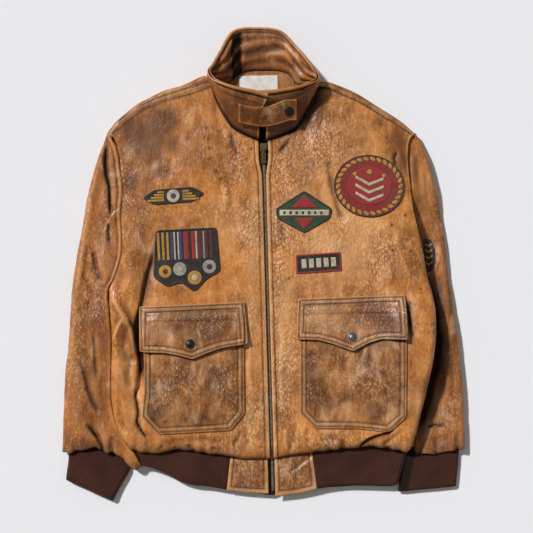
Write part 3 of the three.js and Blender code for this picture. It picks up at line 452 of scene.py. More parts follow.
def link_mesh(name, verts, faces, material, marks=None):
    """Mesh object in metres from points in millimetres, smooth, with named marks on its points."""
    mesh = bpy.data.meshes.new(name)
    mesh.from_pydata((np.asarray(verts, float) * MM).tolist(), [], faces)
    for label, values in (marks or {}).items():
        mesh.attributes.new(label, "FLOAT", "POINT").data.foreach_set("value", np.asarray(values, np.float32))
    mesh.polygons.foreach_set("use_smooth", [True] * len(mesh.polygons))
    mesh.materials.append(material)
    o = bpy.data.objects.new(name, mesh)
    scene.collection.objects.link(o)
    return o


def shell(name, outer, wall, material, marks=None, up=(0, 0, 1), probe=(0.5, 0.5), round_tube=False,
          inside=None):
    """Thin closed shell of a grid of points: the outer face, and an inner face one wall behind it."""
    rows, cols = outer.shape[:2]
    n = grid_normals(outer)
    centre = n[int(rows * probe[0]), int(cols * probe[1])]
    if np.dot(centre, up) < 0:
        n = -n
    inner = outer - n * (wall[..., None] if isinstance(wall, np.ndarray) else wall)
    verts = np.concatenate([outer.reshape(-1, 3), inner.reshape(-1, 3)])
    index = np.arange(rows * cols).reshape(rows, cols)
    under = index + rows * cols
    faces = []

    def quads(a, b, c, d):
        faces.append(np.stack([a.ravel(), b.ravel(), c.ravel(), d.ravel()], axis=1))

    nxt = np.roll(index, -1, axis=1) if round_tube else index[:, 1:]
    cur = index if round_tube else index[:, :-1]
    quads(cur[:-1], nxt[:-1], nxt[1:], cur[1:])
    unxt = nxt + rows * cols
    ucur = cur + rows * cols
    quads(ucur[:-1], ucur[1:], unxt[1:], unxt[:-1])
    quads(cur[0], ucur[0], unxt[0], nxt[0])
    quads(cur[-1], nxt[-1], unxt[-1], ucur[-1])
    if not round_tube:
        quads(index[:-1, 0], index[1:, 0], under[1:, 0], under[:-1, 0])
        quads(index[:-1, -1], under[:-1, -1], under[1:, -1], index[1:, -1])
    faces = np.concatenate(faces)
    a, b, c = verts[faces[:, 0]], verts[faces[:, 1]], verts[faces[:, 2]]
    volume = np.einsum("ij,ij->i", a, np.cross(b, c)).sum()
    d = verts[faces[:, 3]]
    volume += np.einsum("ij,ij->i", a, np.cross(c, d)).sum()
    if volume < 0:
        faces = faces[:, ::-1]
    inside = inside or marks
    doubled = {k: np.concatenate([v.ravel(), inside[k].ravel()]) for k, v in (marks or {}).items()}
    return link_mesh(name, verts, faces.tolist(), material, doubled)


def hollow_shade_and_ridges(z, blur=6, deep=1.6, high=1.1):
    """Where the surface sinks below its own smooth form, for painted shade in the hollows, and where it
    stands above it, for paler ridges.
    """
    smooth = blurred(z, blur)
    return unit((smooth - z) / deep), unit((z - smooth) / high)


def spots(places, x, y):
    """Soft round marks: centre, radii and strength."""
    out = np.zeros_like(x)
    for cx, cy, rx, ry, strength in places:
        d = ((x - cx) / rx) ** 2 + ((y - cy) / ry) ** 2
        out = np.maximum(out, strength * np.exp(-d))
    return out


def spot_marks(placed, x, y, trough, rub, pale=1.0):
    """Marks of a panel: its painted shade with its dark seams, its rubbed places and painted sheen, with the
    spots placed on it.
    """
    marks = {name: spots(placed[name], x, y) for name in ("stain", "deep", "grain")}
    marks["trough"] = unit(trough)
    marks["rub"] = unit(rub + pale * spots(placed["pale"], x, y))
    return marks


SHEET = 2.0
SIDE_LIFT = 18.0
SHOULDER_Z = 22.0
BODY = "jacket"


def belongs(piece, node=None):
    """Piece rides on the jacket's body, and stands for a node where one is named."""
    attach(piece, BODY)
    if node:
        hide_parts(node)


HIDE = dict(tan=(197, 122, 48), dark=(108, 62, 27), pale=(232, 178, 122), clouds=0.75)
body_leather = leather("body_leather", **HIDE)


def back_lift(x, y):
    """Height of the back where its left side lies on the sleeve."""
    along = ease((62 - y) / 44) * ease((y + 292) / 44)
    return SIDE_LIFT * along * ease((x - 212) / 26)


back_right = through(
    [(-205, -304), (-233, -262), (-241, -232), (-243, -200), (-243, -124), (-246, -80), (-249, -43),
     (-241, -20), (-231.5, 12), (-230, 40), (-231, 80), (-228, 121), (-232, 155), (-236, 183), (-244, 208)])
back_left = through(
    [(229, -304), (231, -280), (236, -258), (247, -235), (258, -200), (264, -150), (264, -80), (258, -30),
     (258.5, 10), (253.5, 43), (248, 68), (243, 90), (238.5, 125), (235, 165), (236, 196), (237, 209)])
back_hem = through([(-205, -304), (-100, -306), (100, -306), (229, -304)])
back_top = through(
    [(-244, 208), (-232, 225), (-205, 246), (-160, 268), (-105, 291), (-84, 299), (-60, 318), (-30, 328),
     (0, 330), (30, 328), (60, 318), (84, 299), (105, 288), (150, 269), (190, 243), (237, 209)])
u, v = np.meshgrid(np.linspace(0, 1, 76), np.linspace(0, 1, 90))
plan = coons(back_hem, back_top, back_right, back_left)(u, v)
x, y = plan[..., 0], plan[..., 1]
bottom = back_lift(x, y)
rise = SHEET + np.abs(crumple(x, y, 3.0, [(60, 0.8), (25, 0.4)]))
grid = np.stack([x, y, bottom + rise], axis=-1)
trough, _ = hollow_shade_and_ridges(grid[..., 2])
# Painted shade inside the body, seen below the throat
inside = spots([(0, 205, 16, 40, 1.6)], x, y)
back = shell("back_panel", grid, 1.9, body_leather, {"trough": unit(trough + inside)})

shoulder_rolls = {
    "right": (
        [(-80, 310), (-94, 309), (-105, 307), (-135, 293), (-161, 286), (-188, 273), (-210, 261),
         (-242, 234), (-258, 213)],
        [(-76, 294), (-88, 291), (-105, 286), (-130, 278), (-153, 271), (-185, 259), (-205, 249),
         (-236, 227), (-250, 209)],
    ),
    "left": (
        [(79, 305), (92, 302), (105, 299.5), (130, 290.5), (155, 279), (187, 258.5), (224, 235),
         (248, 214)],
        [(77, 294), (89, 291), (105, 288.5), (130, 278.5), (157, 266), (190, 246.5), (220, 228),
         (242, 209)],
    ),
}
ROLL_STEPS = 130
ROLL_DEEP = 9.0
YOKE_ROW = 6.6
rolls = []
for side, (ridge_line, seam_line) in shoulder_rolls.items():
    t = np.linspace(0, 1, ROLL_STEPS)
    o, q = through(ridge_line)(t), through(seam_line)(t)
    tangent = np.gradient(o, axis=0)
    tangent /= np.linalg.norm(tangent, axis=1, keepdims=True)
    out = np.stack([tangent[:, 1], -tangent[:, 0]], axis=1)
    out *= np.sign(out[:, 1:2])
    half = (SHOULDER_Z - 0.4) / 2
    columns = []
    for s in np.linspace(0, 1, 44):
        if s < 0.2:
            p = o - out * mix(22.0, ROLL_DEEP, s / 0.2)
            z = 0.1
        else:
            a = math.radians(mix(-90, 70, min(1.0, (s - 0.2) / 0.6)))
            tail = max(0.0, (s - 0.8) / 0.2)
            p = mix(o - out * ROLL_DEEP * (1 - math.cos(a)), q - out * 3, tail)
            z = mix(half + half * math.sin(a), 2 * half, tail) - tail
        columns.append(np.column_stack([p, np.full(ROLL_STEPS, z)]))
    grid = np.stack(columns, axis=1)
    from_seam = np.linalg.norm(grid[..., :2] - q[:, None], axis=-1)
    on_top = ease((grid[..., 2] - 14) / 5)
    strip = 0.7 * ease(6.4 - from_seam) - 0.7 * bell(from_seam, YOKE_ROW, 0.9)
    grid[..., 2] += strip * on_top
    lumps = crumple(grid[..., 0], grid[..., 1], 11.0, [(34, 1.4), (14, 0.7)])
    face = ease((grid[..., 2] - 2) / 8)
    grid[..., 2] += lumps * face
    rub = np.clip(0.05 + 0.3 * lumps + 0.22 * bell(from_seam, 4, 2), 0, 0.7) * face
    # Painted shade in the hollows between the lumps, with the dark yoke seam
    dark = unit(-lumps) * 0.4 + 0.7 * on_top * bell(from_seam, YOKE_ROW, 1.1)
    marks = {"rub": rub, "trough": unit(dark), "deep": 0.7 * face}
    roll = shell(f"shoulder_roll_{side}", grid, 1.8, body_leather, marks, up=(0, 0.5, 1), probe=(0.5, 0.6))
    for v in roll.data.vertices:
        v.co.z = max(v.co.z, 0.05 * MM)
    rolls.append(roll)
for piece in (back, *rolls):
    belongs(piece)
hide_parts("back")


# Fronts: two hide panels, each turned in along the zip and stitched 7 mm from its edge.
# They dome over the chest, puff over the hem seam and roll round each side to the back.
ZIP_Z = 26.0
CHEST_RISE = 5.0
HEM_Z = 14.0
HEM_PUFF = 20.0
HEM_Y = -318.0
THROAT_Y = 201.0
ARMPIT = 0.5
NECK_SHARE = 0.34
WALL = 2.0
SEAM = 0.4
FRONT_LONG = 560.0
ZIP_ROW = 7.4


def zip_x(y):
    """The zip leans a little to one side on its way up."""
    return 13.5 - 14.5 * (y - HEM_Y) / (THROAT_Y - HEM_Y)


def zip_half_gap(y):
    return 2.7 + 4.5 * ease((y - 138) / 36)


front_edges = {
    "right": dict(
        hem=[(-27, -319), (-55, -315), (-93, -310), (-136, -304), (-168, -308), (-188, -310), (-204, -308)],
        side=[(-214, -305), (-224, -293), (-234, -280), (-242, -258), (-248, -232), (-250, -200),
              (-250, -124), (-252, -80), (-253, -41)],
        armhole=[(-253, -41), (-242, -20), (-232, 12), (-230, 40), (-232, 80), (-229, 121), (-233, 155),
                 (-236, 180), (-241, 197), (-248, 213)],
        neck=[(-25, 208), (-43, 217), (-55, 227), (-68, 247), (-79, 269), (-86, 291)],
        shoulder=[(-86, 291), (-120, 279), (-153, 270), (-185, 258), (-205, 248), (-238, 223), (-248, 213)],
    ),
    "left": dict(
        hem=[(58, -311), (105, -305), (133, -302), (157, -300), (180, -299), (208, -303)],
        side=[(232, -308), (243, -294), (254, -252), (264, -207), (274, -160), (279, -100), (276, -58),
              (266, -21), (261, 8)],
        armhole=[(261, 8), (254, 43), (248, 68), (243, 90), (239, 125), (235, 165), (236, 196), (242, 212)],
        neck=[(27, 207), (42, 213), (54, 221), (68, 245), (80, 270), (88, 291)],
        shoulder=[(88, 291), (105, 288), (133, 276), (157, 265), (190, 245), (226, 223), (242, 212)],
    ),
}
# Main folds: path, width, rise, lean to one side
front_folds = {
    "right": [
        ([(-176, 40), (-183, 4), (-190, -16), (-195, -38), (-199, -60), (-203, -80),
          (-205, -110)], 11, -6.5, 0.8),
        ([(-262, -40), (-250, -56), (-232, -75), (-219, -93), (-212, -114), (-210, -131),
          (-213, -152)], 9.5, 8, 0.5),
        ([(-204, -80), (-204, -120), (-201.5, -149), (-200, -169), (-203, -200),
          (-208, -224)], 5.2, -8, 0.3),
        ([(-217, -92), (-227, -119), (-229, -138), (-221, -153), (-204, -156)], 7.5, -6.5, -0.3),
        ([(-216, -160), (-222, -182), (-217, -206)], 6.0, -2.5),
        ([(-240, 60), (-222, 20), (-215, -20), (-222, -60)], 15, 4.5, 0.3),
        ([(-228, -150), (-234, -207), (-224, -255), (-196, -305)], 15, 4),
        ([(-40, 185), (-30, 100), (-22, 0), (-14, -60)], 13, 2.0),
    ],
    "left": [
        ([(205, -268), (175, -284), (148, -306)], 11, 3.5),
        ([(40, 185), (36, 100), (32, 0), (30, -60)], 13, 2.0),
        ([(62, 196), (84, 140), (96, 80)], 16, -2),
    ],
}
# Narrow creases pressed in by wear
front_creases = {
    "right": [
        ([(-228, -84), (-239, -104), (-248, -127)], 2.6, 2.4, 0.5),
        ([(-250, -50), (-234, -78), (-220, -104), (-213, -130), (-212, -156)], 3.6, 2.2, 0.5),
        ([(-207, -191), (-209, -216), (-205, -241), (-207, -258), (-197, -275),
          (-187, -287)], 3.4, -2.4, 0.3),
        ([(-236, -215), (-234, -245), (-222, -275)], 5.0, -1.2),
        ([(-53, 236), (-53, 212), (-49, 194), (-42, 178)], 3.8, -1.5, -0.5),
        ([(-36, -268), (-42, -282), (-50, -298)], 3.0, -1.8),
        ([(-60, 222), (-60, 206), (-56, 194)], 5.0, 1.2),
        ([(-66, 130), (-62, 112), (-58, 96)], 5.0, 1.2),
        ([(-26, -60), (-22, -120), (-24, -180), (-16, -240)], 4, 1.2),
        ([(-60, -290), (-100, -284), (-140, -286), (-176, -296)], 6, -1.8),
        ([(-30, -262), (-28, -290), (-34, -312)], 5, -1.6),
        ([(-80, -296), (-84, -306), (-82, -316)], 4, -1.4),
        ([(-120, -292), (-124, -302), (-120, -312)], 4, -1.6),
        ([(-164, -294), (-170, -304), (-168, -314)], 4, -1.6),
    ],
    "left": [
        ([(214, -268), (202, -273), (183, -278.5), (169, -285.5), (159.5, -294),
          (154, -304)], 4, -3.0, 0.5),
        ([(226, -268), (212, -279), (200, -289), (190, -298)], 3.2, -1.7),
        ([(50, 224), (42, 206), (34, 194), (22, 181)], 4.4, -1.6, 0.5),
        ([(34, -268), (36, -290), (40, -308)], 2.2, 1.3),
        ([(44, -264), (46, -286), (50, -304)], 2.2, 1.2),
        ([(58, -260), (54, -282), (57, -300)], 2.4, 1.2),
        ([(68, -256), (63, -278), (68, -298)], 2.4, 1.1),
        ([(218, 184), (212, 172), (216, 160)], 4.0, -1.6),
        ([(103, 186), (105, 150), (112, 114), (121, 86), (130, 62)], 6.0, -2.3, 0.45),
        ([(24, 74), (31, 54), (29, 30)], 4.5, -1.3),
        ([(212, 60), (220, 20), (236, -20)], 4.0, 0.9),
        ([(196, 30), (208, -4), (214, -30)], 4.0, -0.8),
        ([(26, -70), (30, -130), (27, -190), (32, -250)], 4, 1.1),
        ([(44, -262), (46, -286), (40, -308)], 5, -1.6),
        ([(86, -288), (112, -282), (138, -288)], 6, -1.6),
        ([(100, -292), (102, -300), (98, -308)], 4, -1.4),
        ([(128, -288), (132, -298), (130, -306)], 4, -1.4),
    ],
}
# Painted shade: dark lines where a fold closes, and painted shadows below the collar and beside a pocket
# flap;
# path, width, depth of colour, and lean
front_painted_shade = {
    "right": [
        ([(-53, 240), (-53, 212), (-49, 194), (-42, 174)], 1.8, 0.32),
        ([(-177, 34), (-184, 4), (-191, -16), (-196, -38), (-200, -60), (-204, -80),
          (-205, -104)], 5.0, 0.75, 0.6),
        ([(-203, -66), (-205, -88), (-205, -107), (-204, -128), (-201, -149), (-199.5, -169),
          (-203, -196)], 5.0, 1.5),
        ([(-207, -186), (-209, -216), (-205, -241), (-207, -258), (-197, -275), (-187, -290)], 1.8, 0.7),
        ([(-218, -92), (-227, -119), (-229, -138), (-221, -153), (-204, -157)], 4.6, 0.62, -0.4),
        ([(-240, -56), (-224, -80), (-211, -106), (-206, -132)], 3.4, 0.6, 0.4),
        ([(-222, -150), (-224, -180), (-219, -206)], 5.0, 0.3),
        ([(-221, -86), (-214, -104), (-211, -124), (-210, -146)], 5.0, 0.5, -0.5),
    ],
    "left": [
        ([(50, 228), (42, 206), (34, 194), (20, 179)], 2.6, 0.25),
        ([(104, 316), (93, 292), (81, 262), (66, 237), (44, 213)], 11, 0.9),
        ([(218, -266), (202, -273), (183, -278.5), (169, -285.5), (159.5, -294), (153, -306)], 1.8, 1.1),
        ([(218, 188), (212, 172), (216, 156)], 1.8, 0.6),
        ([(231, -54), (234, -75), (237, -100), (240, -127)], 3.6, 1.3),
    ],
}
# Placed spots: stains, two on the left front being painted shadow beside the collar; dye that has stayed
# deep, and painted shade beside the right side's fold; pale places, partly rubbed and partly painted sheen;
# and where the grain stands highest, with its painted glints. Each has its centre, its radii and its
# strength.
front_spots = {
    "right": dict(
        stain=[(-184, 208, 34, 44, 1.15), (-210, 214, 34, 32, 1.05), (-165, 230, 24, 28, 1.15),
               (-216, 132, 18, 20, 0.95), (-150, 196, 14, 20, 0.8), (-128, 168, 12, 16, 0.6),
               (-166, 150, 20, 12, 0.7), (-176, 184, 20, 20, 0.8), (-94, 222, 2.8, 2.8, 1.5),
               (-90, 204, 2.8, 3.4, 1.7), (-88.5, 189, 2.6, 3.0, 1.5), (-89, 171, 2.4, 2.4, 1.3),
               (-78.4, 152, 3.0, 3.6, 1.7), (-70.4, 139, 2.6, 2.6, 1.5), (-21, 188, 2.6, 3.0, 1.5),
               (-34, 186, 22, 26, 0.42), (-70, 250, 16, 16, 0.4), (-210, -300, 24, 14, 0.5),
               (-120, -306, 40, 8, 0.35)],
        deep=[(-195, 165, 44, 34, 0.9), (-165, 238, 40, 26, 1.0), (-185, 200, 60, 50, 0.6),
              (-150, 118, 34, 20, 0.5), (-108, 62, 24, 30, 0.4), (-200, 40, 24, 80, 0.9),
              (-40, 160, 22, 26, 0.4), (-130, -296, 90, 18, 0.45), (-120, 190, 40, 60, 0.4),
              (-70, 268, 20, 20, 0.5), (-225, -180, 20, 60, 0.4), (-215, 230, 30, 24, 0.7)],
        pale=[(-16, 40, 14, 80, 0.8), (-60, 60, 30, 40, 0.5), (-20, -100, 14, 80, 0.7),
              (-20, -250, 16, 50, 0.5)],
        grain=[(-34, 175, 24, 40, 0.5), (-22, 60, 20, 60, 1.0), (-60, 206, 7, 18, 0.5),
               (-62, 112, 9, 26, 0.9), (-70, 84, 60, 16, 0.5), (-20, -90, 16, 60, 0.9),
               (-18, -250, 22, 50, 0.9), (-60, -290, 90, 24, 0.5), (-226, 120, 20, 60, 0.5),
               (-160, 150, 40, 20, 0.4)],
    ),
    "left": dict(
        stain=[(88, 258, 16, 34, 1.1), (74, 236, 12, 16, 0.9), (216, 204, 24, 34, 0.85),
               (228, 172, 14, 34, 0.75), (190, 232, 22, 16, 0.6), (234, 120, 10, 26, 0.4),
               (208, 64, 2.6, 2.6, 1.4), (230, 80, 2.6, 2.6, 1.4), (209, 23, 2.6, 2.6, 1.4),
               (238, 21, 2.6, 2.6, 1.4), (191, 228, 2.6, 2.6, 1.4), (201, 207, 2.8, 2.8, 1.5),
               (122, 192, 2.4, 2.4, 1.2), (142, 192, 2.4, 2.4, 1.2), (118, 108, 2.6, 2.6, 1.2),
               (36, 170, 18, 24, 0.35), (30, 1, 2.4, 2.4, 1.4), (41, -23, 2.4, 2.4, 1.4),
               (130, -296, 40, 8, 0.15), (60, 236, 16, 12, 0.4), (248, -95, 3, 3, 1.1),
               (236, -290, 20, 12, 0.25), (237, -62, 2.8, 2.8, 1.3), (237, -158, 2.2, 8, 0.9),
               (254, -40, 2.4, 2.4, 1.3), (255, -46, 2, 2, 1.2)],
        deep=[(40, 220, 46, 50, 0.7), (215, 165, 22, 34, 0.7), (250, 0, 18, 60, 0.5),
              (80, 150, 30, 40, 0.3), (120, 240, 40, 24, 0.5), (150, 190, 40, 40, 0.4),
              (240, -150, 14, 110, 0.5)],
        pale=[(150, 90, 50, 100, 0.75), (100, 30, 50, 60, 0.7), (140, 20, 40, 40, 0.8),
              (60, 90, 30, 40, 0.7), (34, -110, 16, 120, 0.7), (60, 170, 40, 50, 0.2),
              (250, -236, 6, 42, 0.8)],
        grain=[(24, 10, 12, 90, 0.9), (60, 40, 50, 34, 0.8), (34, 150, 34, 60, 0.8), (130, 60, 60, 40, 0.6),
               (100, 200, 50, 60, 0.6), (34, -180, 20, 110, 0.8), (120, -290, 90, 24, 0.6),
               (120, 230, 60, 40, 0.4), (200, 20, 50, 50, 0.6)],
    ),
}
# The left side stands over the sleeve: its rise above the zip from hem to armhole
left_side_y = [-304, -283, -249, -205, -182, -138, -92, -70, -45, -16, 54, 112]
left_side_rise = [7, 11, 12, 18, 25, 30, 25, 19, 12, 12, 7, 0]


def rolled_side(edge, way, top, low, over, under, turn, bend=1.6):
    """Columns of a rolled side, from the top of the panel round to its seam."""
    drop = mix(0.4 * bend, (top - low) / 2, turn)
    over = mix(bend, over, turn)
    under = mix(0.8, under, turn)
    mid = top - drop
    end = mix(mid - 2.4, low, turn)
    columns = []
    for deg in (*range(80, -1, -10), *range(-15, -91, -15)):
        a = math.radians(deg)
        reach, fall = (over, drop) if deg >= 0 else (under, mid - end)
        p = edge - way * (reach * (1 - math.cos(a)))[:, None]
        columns.append(np.column_stack([p, mid + fall * math.sin(a)]))
    return columns


def pushed(grid, amount, up, probe):
    """Grid moved along its own normals."""
    n = grid_normals(grid)
    if np.dot(n[probe], up) < 0:
        n = -n
    return grid + n * amount[..., None]


def front_grid(side):
    """Outer points of a front, its relief, and each point's distance from the zip edge."""
    e = front_edges[side]
    s = -1 if side == "right" else 1

    def near(v):
        y = mix(HEM_Y, THROAT_Y, np.asarray(v, float))
        return np.stack([zip_x(y) + s * zip_half_gap(y), y], axis=-1)

    far = joined(through(e["side"]), through(e["armhole"]), ARMPIT)
    low = through([tuple(near(0.0)), *e["hem"], e["side"][0]])
    high = joined(through([tuple(near(1.0)), *e["neck"]]), through(e["shoulder"]), NECK_SHARE)
    plan = coons(low, high, near, far)
    us = np.concatenate([np.linspace(0, 0.05, 15)[:-1], np.linspace(0.05, 1, 92)])
    vs = [np.linspace(0, 0.06, 22)[:-1], np.linspace(0.06, 0.97, 186)[:-1], np.linspace(0.97, 1, 14)]
    vs = np.concatenate(vs)
    u, v = np.meshgrid(us, vs)
    p = plan(u, v)
    start, edge = plan(np.full_like(vs, 0.93), vs), plan(np.ones_like(vs), vs)
    way = edge - start
    way /= np.linalg.norm(way, axis=1, keepdims=True)
    over = 10.0
    if side == "right":
        turn = ease((ARMPIT + 0.035 - vs) / 0.06) * ease(vs / 0.05)
        under = 8.0
        seam_z = np.full_like(vs, SHEET + SEAM)
    else:
        turn = ease((ARMPIT + 0.17 - vs) / 0.2) * ease(vs / 0.05)
        under = 14.0
        seam_z = back_lift(np.full_like(vs, 300.0), edge[:, 1]) + SHEET + SEAM + 1.2
    inset = mix(0.6, over, turn)
    x = p[..., 0] - (way[:, 0] * inset)[:, None] * ease((u - 0.6) / 0.4)
    y = p[..., 1] - (way[:, 1] * inset)[:, None] * ease((u - 0.6) / 0.4)
    z = ZIP_Z + CHEST_RISE * np.sin(np.pi * u) * ease((1 - v) / 0.25)
    z -= (ZIP_Z - SHOULDER_Z) * ease((v - 0.72) / 0.28) * ease(u / NECK_SHARE)
    if side == "left":
        z += np.interp(edge[:, 1], left_side_y, left_side_rise)[:, None] * ease((u - 0.5) / 0.5)
    within = ease(u / 0.12) * ease(v / 0.06) * ease((1 - v) / 0.06)
    z += folded(front_folds[side], x, y) * within
    z = HEM_Z + (z - HEM_Z) * swell(v * FRONT_LONG / HEM_PUFF)
    top = np.stack([x, y, z], axis=-1)
    over, under = np.full_like(vs, over), np.full_like(vs, under)
    sides = rolled_side(edge, way, z[:, -1], seam_z, over, under, turn, 0.6)
    grid = np.concatenate([top, np.stack(sides, axis=1)], axis=1)
    beyond = ((0, 0), (0, grid.shape[1] - len(us)))
    from_zip = np.pad(np.hypot(x - x[:, :1], y - y[:, :1]), beyond, constant_values=500.0)
    from_side = np.pad(np.hypot(x - x[:, -1:], y - y[:, -1:]), beyond)
    v_all = np.repeat(vs[:, None], grid.shape[1], axis=1)
    gx, gy = grid[..., 0], grid[..., 1]
    relief = folded(front_creases[side], gx, gy) * ease(v_all / 0.02) * ease((1 - v_all) / 0.03)
    uneven = hide_noise(grid, 2.0 if s < 0 else 31.0, [(70, 0.9), (26, 0.7), (12, 0.3), (7, 0.12)])
    relief += uneven * mix(0.35, 1.0, ease(from_zip / 14))
    relief = relief * mix(1.0, ease((from_side + 1) / 9), (1 - turn)[:, None])
    strip = 0.7 * ease((7.6 - from_zip) / 1.2) - 0.9 * bell(from_zip, ZIP_ROW, 1.0)
    relief += strip - 1.3 * (1 - swell(from_zip / 2.6))
    gathers = 0.9 * np.sin(gx / 4.6 + 2.2 * np.sin(gx / 17.0)) * np.exp(-v_all * FRONT_LONG / 16)
    relief += gathers * ease((from_zip - 55) / 30)
    return grid, relief, from_zip, from_side, v_all


fronts = {}
for side in ("right", "left"):
    grid, relief, from_zip, from_side, along = front_grid(side)
    grid = pushed(grid, relief, (0, 0, 1), (120, 50))
    trough, ridge = hollow_shade_and_ridges(relief, 5, 1.7, 1.5)
    over_rib = ease((from_zip - 55) / 20)
    # Painted shade along the hem seam below the puff, narrower and a little weaker over the tabs
    hem_shade = np.exp(-along * FRONT_LONG / mix(2.5, 6.0, over_rib)) * mix(0.36, 0.44, over_rib)
    gx, gy = grid[..., 0], grid[..., 1]
    turned = ease((gy - 140) / 20) * (side == "left")
    seam_dark = bell(from_zip, ZIP_ROW, 1.2) * 0.45 + 0.9 * bell((1 - along) * 500, 0, 2.6)
    seam_dark += 0.4 * turned * bell(from_side, 5.0, 1.4)
    # Painted shade of the front: creases, the hem and the painted lines, with the dark seams
    trough = 0.7 * trough + seam_dark + hem_shade + folded(front_painted_shade[side], gx, gy)
    rub = ridge * 0.8 + 0.6 * bell(from_zip, 1.5, 1.8) + 0.8 * turned * bell(from_side, 0, 2.8)
    marks = spot_marks(front_spots[side], gx, gy, trough, rub, ease((from_zip - 6) / 4))
    fronts[side] = shell(f"front_panel_{side}", grid, WALL, body_leather, marks)
    belongs(fronts[side], f"front_{side}")


# Sleeves: a top panel rolled down to the floor on both sides, over a flat under panel.
# They lie beside the body with deep folds at the armhole and fine creases down the forearm.
sleeve_edges = {
    "right": dict(
        inner=[(-252, 212), (-244.5, 197), (-239, 180), (-236, 155), (-232, 121), (-235, 80), (-233, 40),
               (-235, 12), (-245, -20), (-254.5, -42), (-252, -80), (-249, -124), (-249, -205),
               (-247, -234), (-239, -264), (-221, -297), (-209, -312), (-198, -331)],
        outer=[(-258, 210), (-266, 190), (-275, 165), (-289, 112), (-298, 60), (-308, 7), (-315, -46),
               (-319, -111), (-325, -177), (-328, -243), (-330, -308)],
        end=[(-198, -331), (-209, -338), (-229, -321), (-246, -309), (-257, -310), (-268, -307),
             (-277, -300), (-305, -304), (-330, -308)],
    ),
    "left": dict(
        inner=[(241.5, 214), (235, 195), (234, 165), (238.5, 125), (243.5, 90), (250, 68), (256.5, 43),
               (263.5, 9), (257, -25), (247, -50), (241, -105), (240, -178), (243, -252), (249, -310)],
        outer=[(249, 215), (261, 193), (272, 166), (283, 124), (291, 78), (297, 40), (303, -13), (311, -67),
               (320, -136), (327, -210), (329, -256), (330, -303)],
        end=[(249, -310), (270, -311), (295, -308), (330, -303)],
    ),
}
sleeve_folds = {
    "right": [
        ([(-300, 40), (-282, -10), (-286, -60)], 14, -2.5),
        ([(-262, -40), (-285, -75), (-300, -90)], 13, -2.5),
        ([(-272, -240), (-277, -275), (-270, -312)], 10, -3),
    ],
    "left": [
        ([(300, 5), (306, -60), (312, -110)], 9, -2),
        ([(296, -215), (292, -260), (290, -312)], 9, -2),
    ],
}
sleeve_creases = {
    "right": [
        ([(-257, 210), (-261, 167), (-259.5, 148), (-255, 127), (-254, 105), (-252, 70)], 8, 6.5, 0.9),
        ([(-252, 204), (-255, 167), (-253.5, 148), (-249, 127), (-248.5, 105), (-247, 80)], 4.5, -3.0),
        ([(-233, 92), (-247.6, 79.3), (-256.5, 65), (-260, 51), (-259, 33), (-256, 8)], 4.6, 3.4, 0.75),
        ([(-253, 66), (-254.5, 50), (-252, 34)], 3.6, -2.6),
        ([(-282, 24), (-279, 6), (-274, -14), (-266, -34)], 4.0, -3.6, 0.5),
        ([(-292, 60), (-288, 20), (-281, -20)], 10, -1.6),
        ([(-274, 176), (-285, 87), (-293.5, 33), (-299, -11), (-308.5, -58), (-313, -156), (-318, -222),
          (-314, -290)], 5.5, 1.3),
        ([(-284, -2), (-276, -24), (-264, -46)], 3.5, -1.8, 0.4),
        ([(-298, -8), (-284, -40), (-268, -60)], 4, -1.5),
        ([(-279, -104), (-277, -143), (-275.7, -165), (-273, -190)], 3.0, -2.2, 0.4),
        ([(-302, -148), (-292, -186), (-287, -209), (-276.7, -232), (-268, -248)], 4.2, -3.2, 0.3),
        ([(-292, -258), (-279, -276), (-272.5, -284), (-267, -297), (-264, -316)], 4.0, -4.8, 0.5),
        ([(-262, -180), (-264, -215), (-258, -250)], 6, -1.2),
        ([(-246, -280), (-252, -292), (-250, -306)], 4, -2.0),
    ],
    "left": [
        ([(245, 182), (245, 150), (247, 118)], 5, 1.2),
        ([(259, 166), (259, 135), (262, 100)], 5, 1.2),
        ([(270, 80), (276, 40), (284, 0)], 6, -1.0),
        ([(300, 0), (306, -50), (311, -100)], 4, -1.2),
        ([(314, -116), (310, -170), (311, -214)], 4, -1.0),
        ([(299, -136), (302, -190), (300, -234)], 5, 1.0),
        ([(266, -268), (282, -264), (298, -267)], 3, -1.6),
        ([(280, -282), (284, -296), (282, -312)], 4, -1.6),
        ([(318, -276), (316, -290), (316, -306)], 4, -1.6),
    ],
}
# Painted shade along sleeve creases, and the painted shadow the body casts on the left sleeve: path, width,
# depth of colour
sleeve_painted_shade = {
    "right": [
        ([(-256, 214), (-260, 167), (-258, 148), (-253, 127), (-252, 105), (-250, 66)], 2.8, 1.8),
        ([(-234, 90), (-246, 77.5), (-255, 64), (-258.5, 51), (-257.5, 33), (-255, 12)], 1.4, 0.4),
        ([(-253, 70), (-254, 50), (-252, 30)], 2.0, 1.0),
        ([(-282, 24), (-279, 6), (-274, -14), (-266, -34)], 1.8, 0.55),
        ([(-279, -104), (-277, -143), (-275.7, -165), (-273, -190)], 1.5, 0.35),
        ([(-302, -148), (-292, -186), (-287, -209), (-276.7, -232), (-268, -248)], 2.0, 0.35),
        ([(-292, -258), (-279, -276), (-272.5, -284), (-267, -297), (-263, -320)], 2.0, 0.6),
    ],
    "left": [
        ([(266, -268), (282, -264), (298, -267)], 1.6, 0.6),
        ([(256, 60), (266, -20), (279, -70), (287, -120), (284, -165), (272, -215), (257, -265),
          (246, -320)], 13, 1.05),
    ],
}
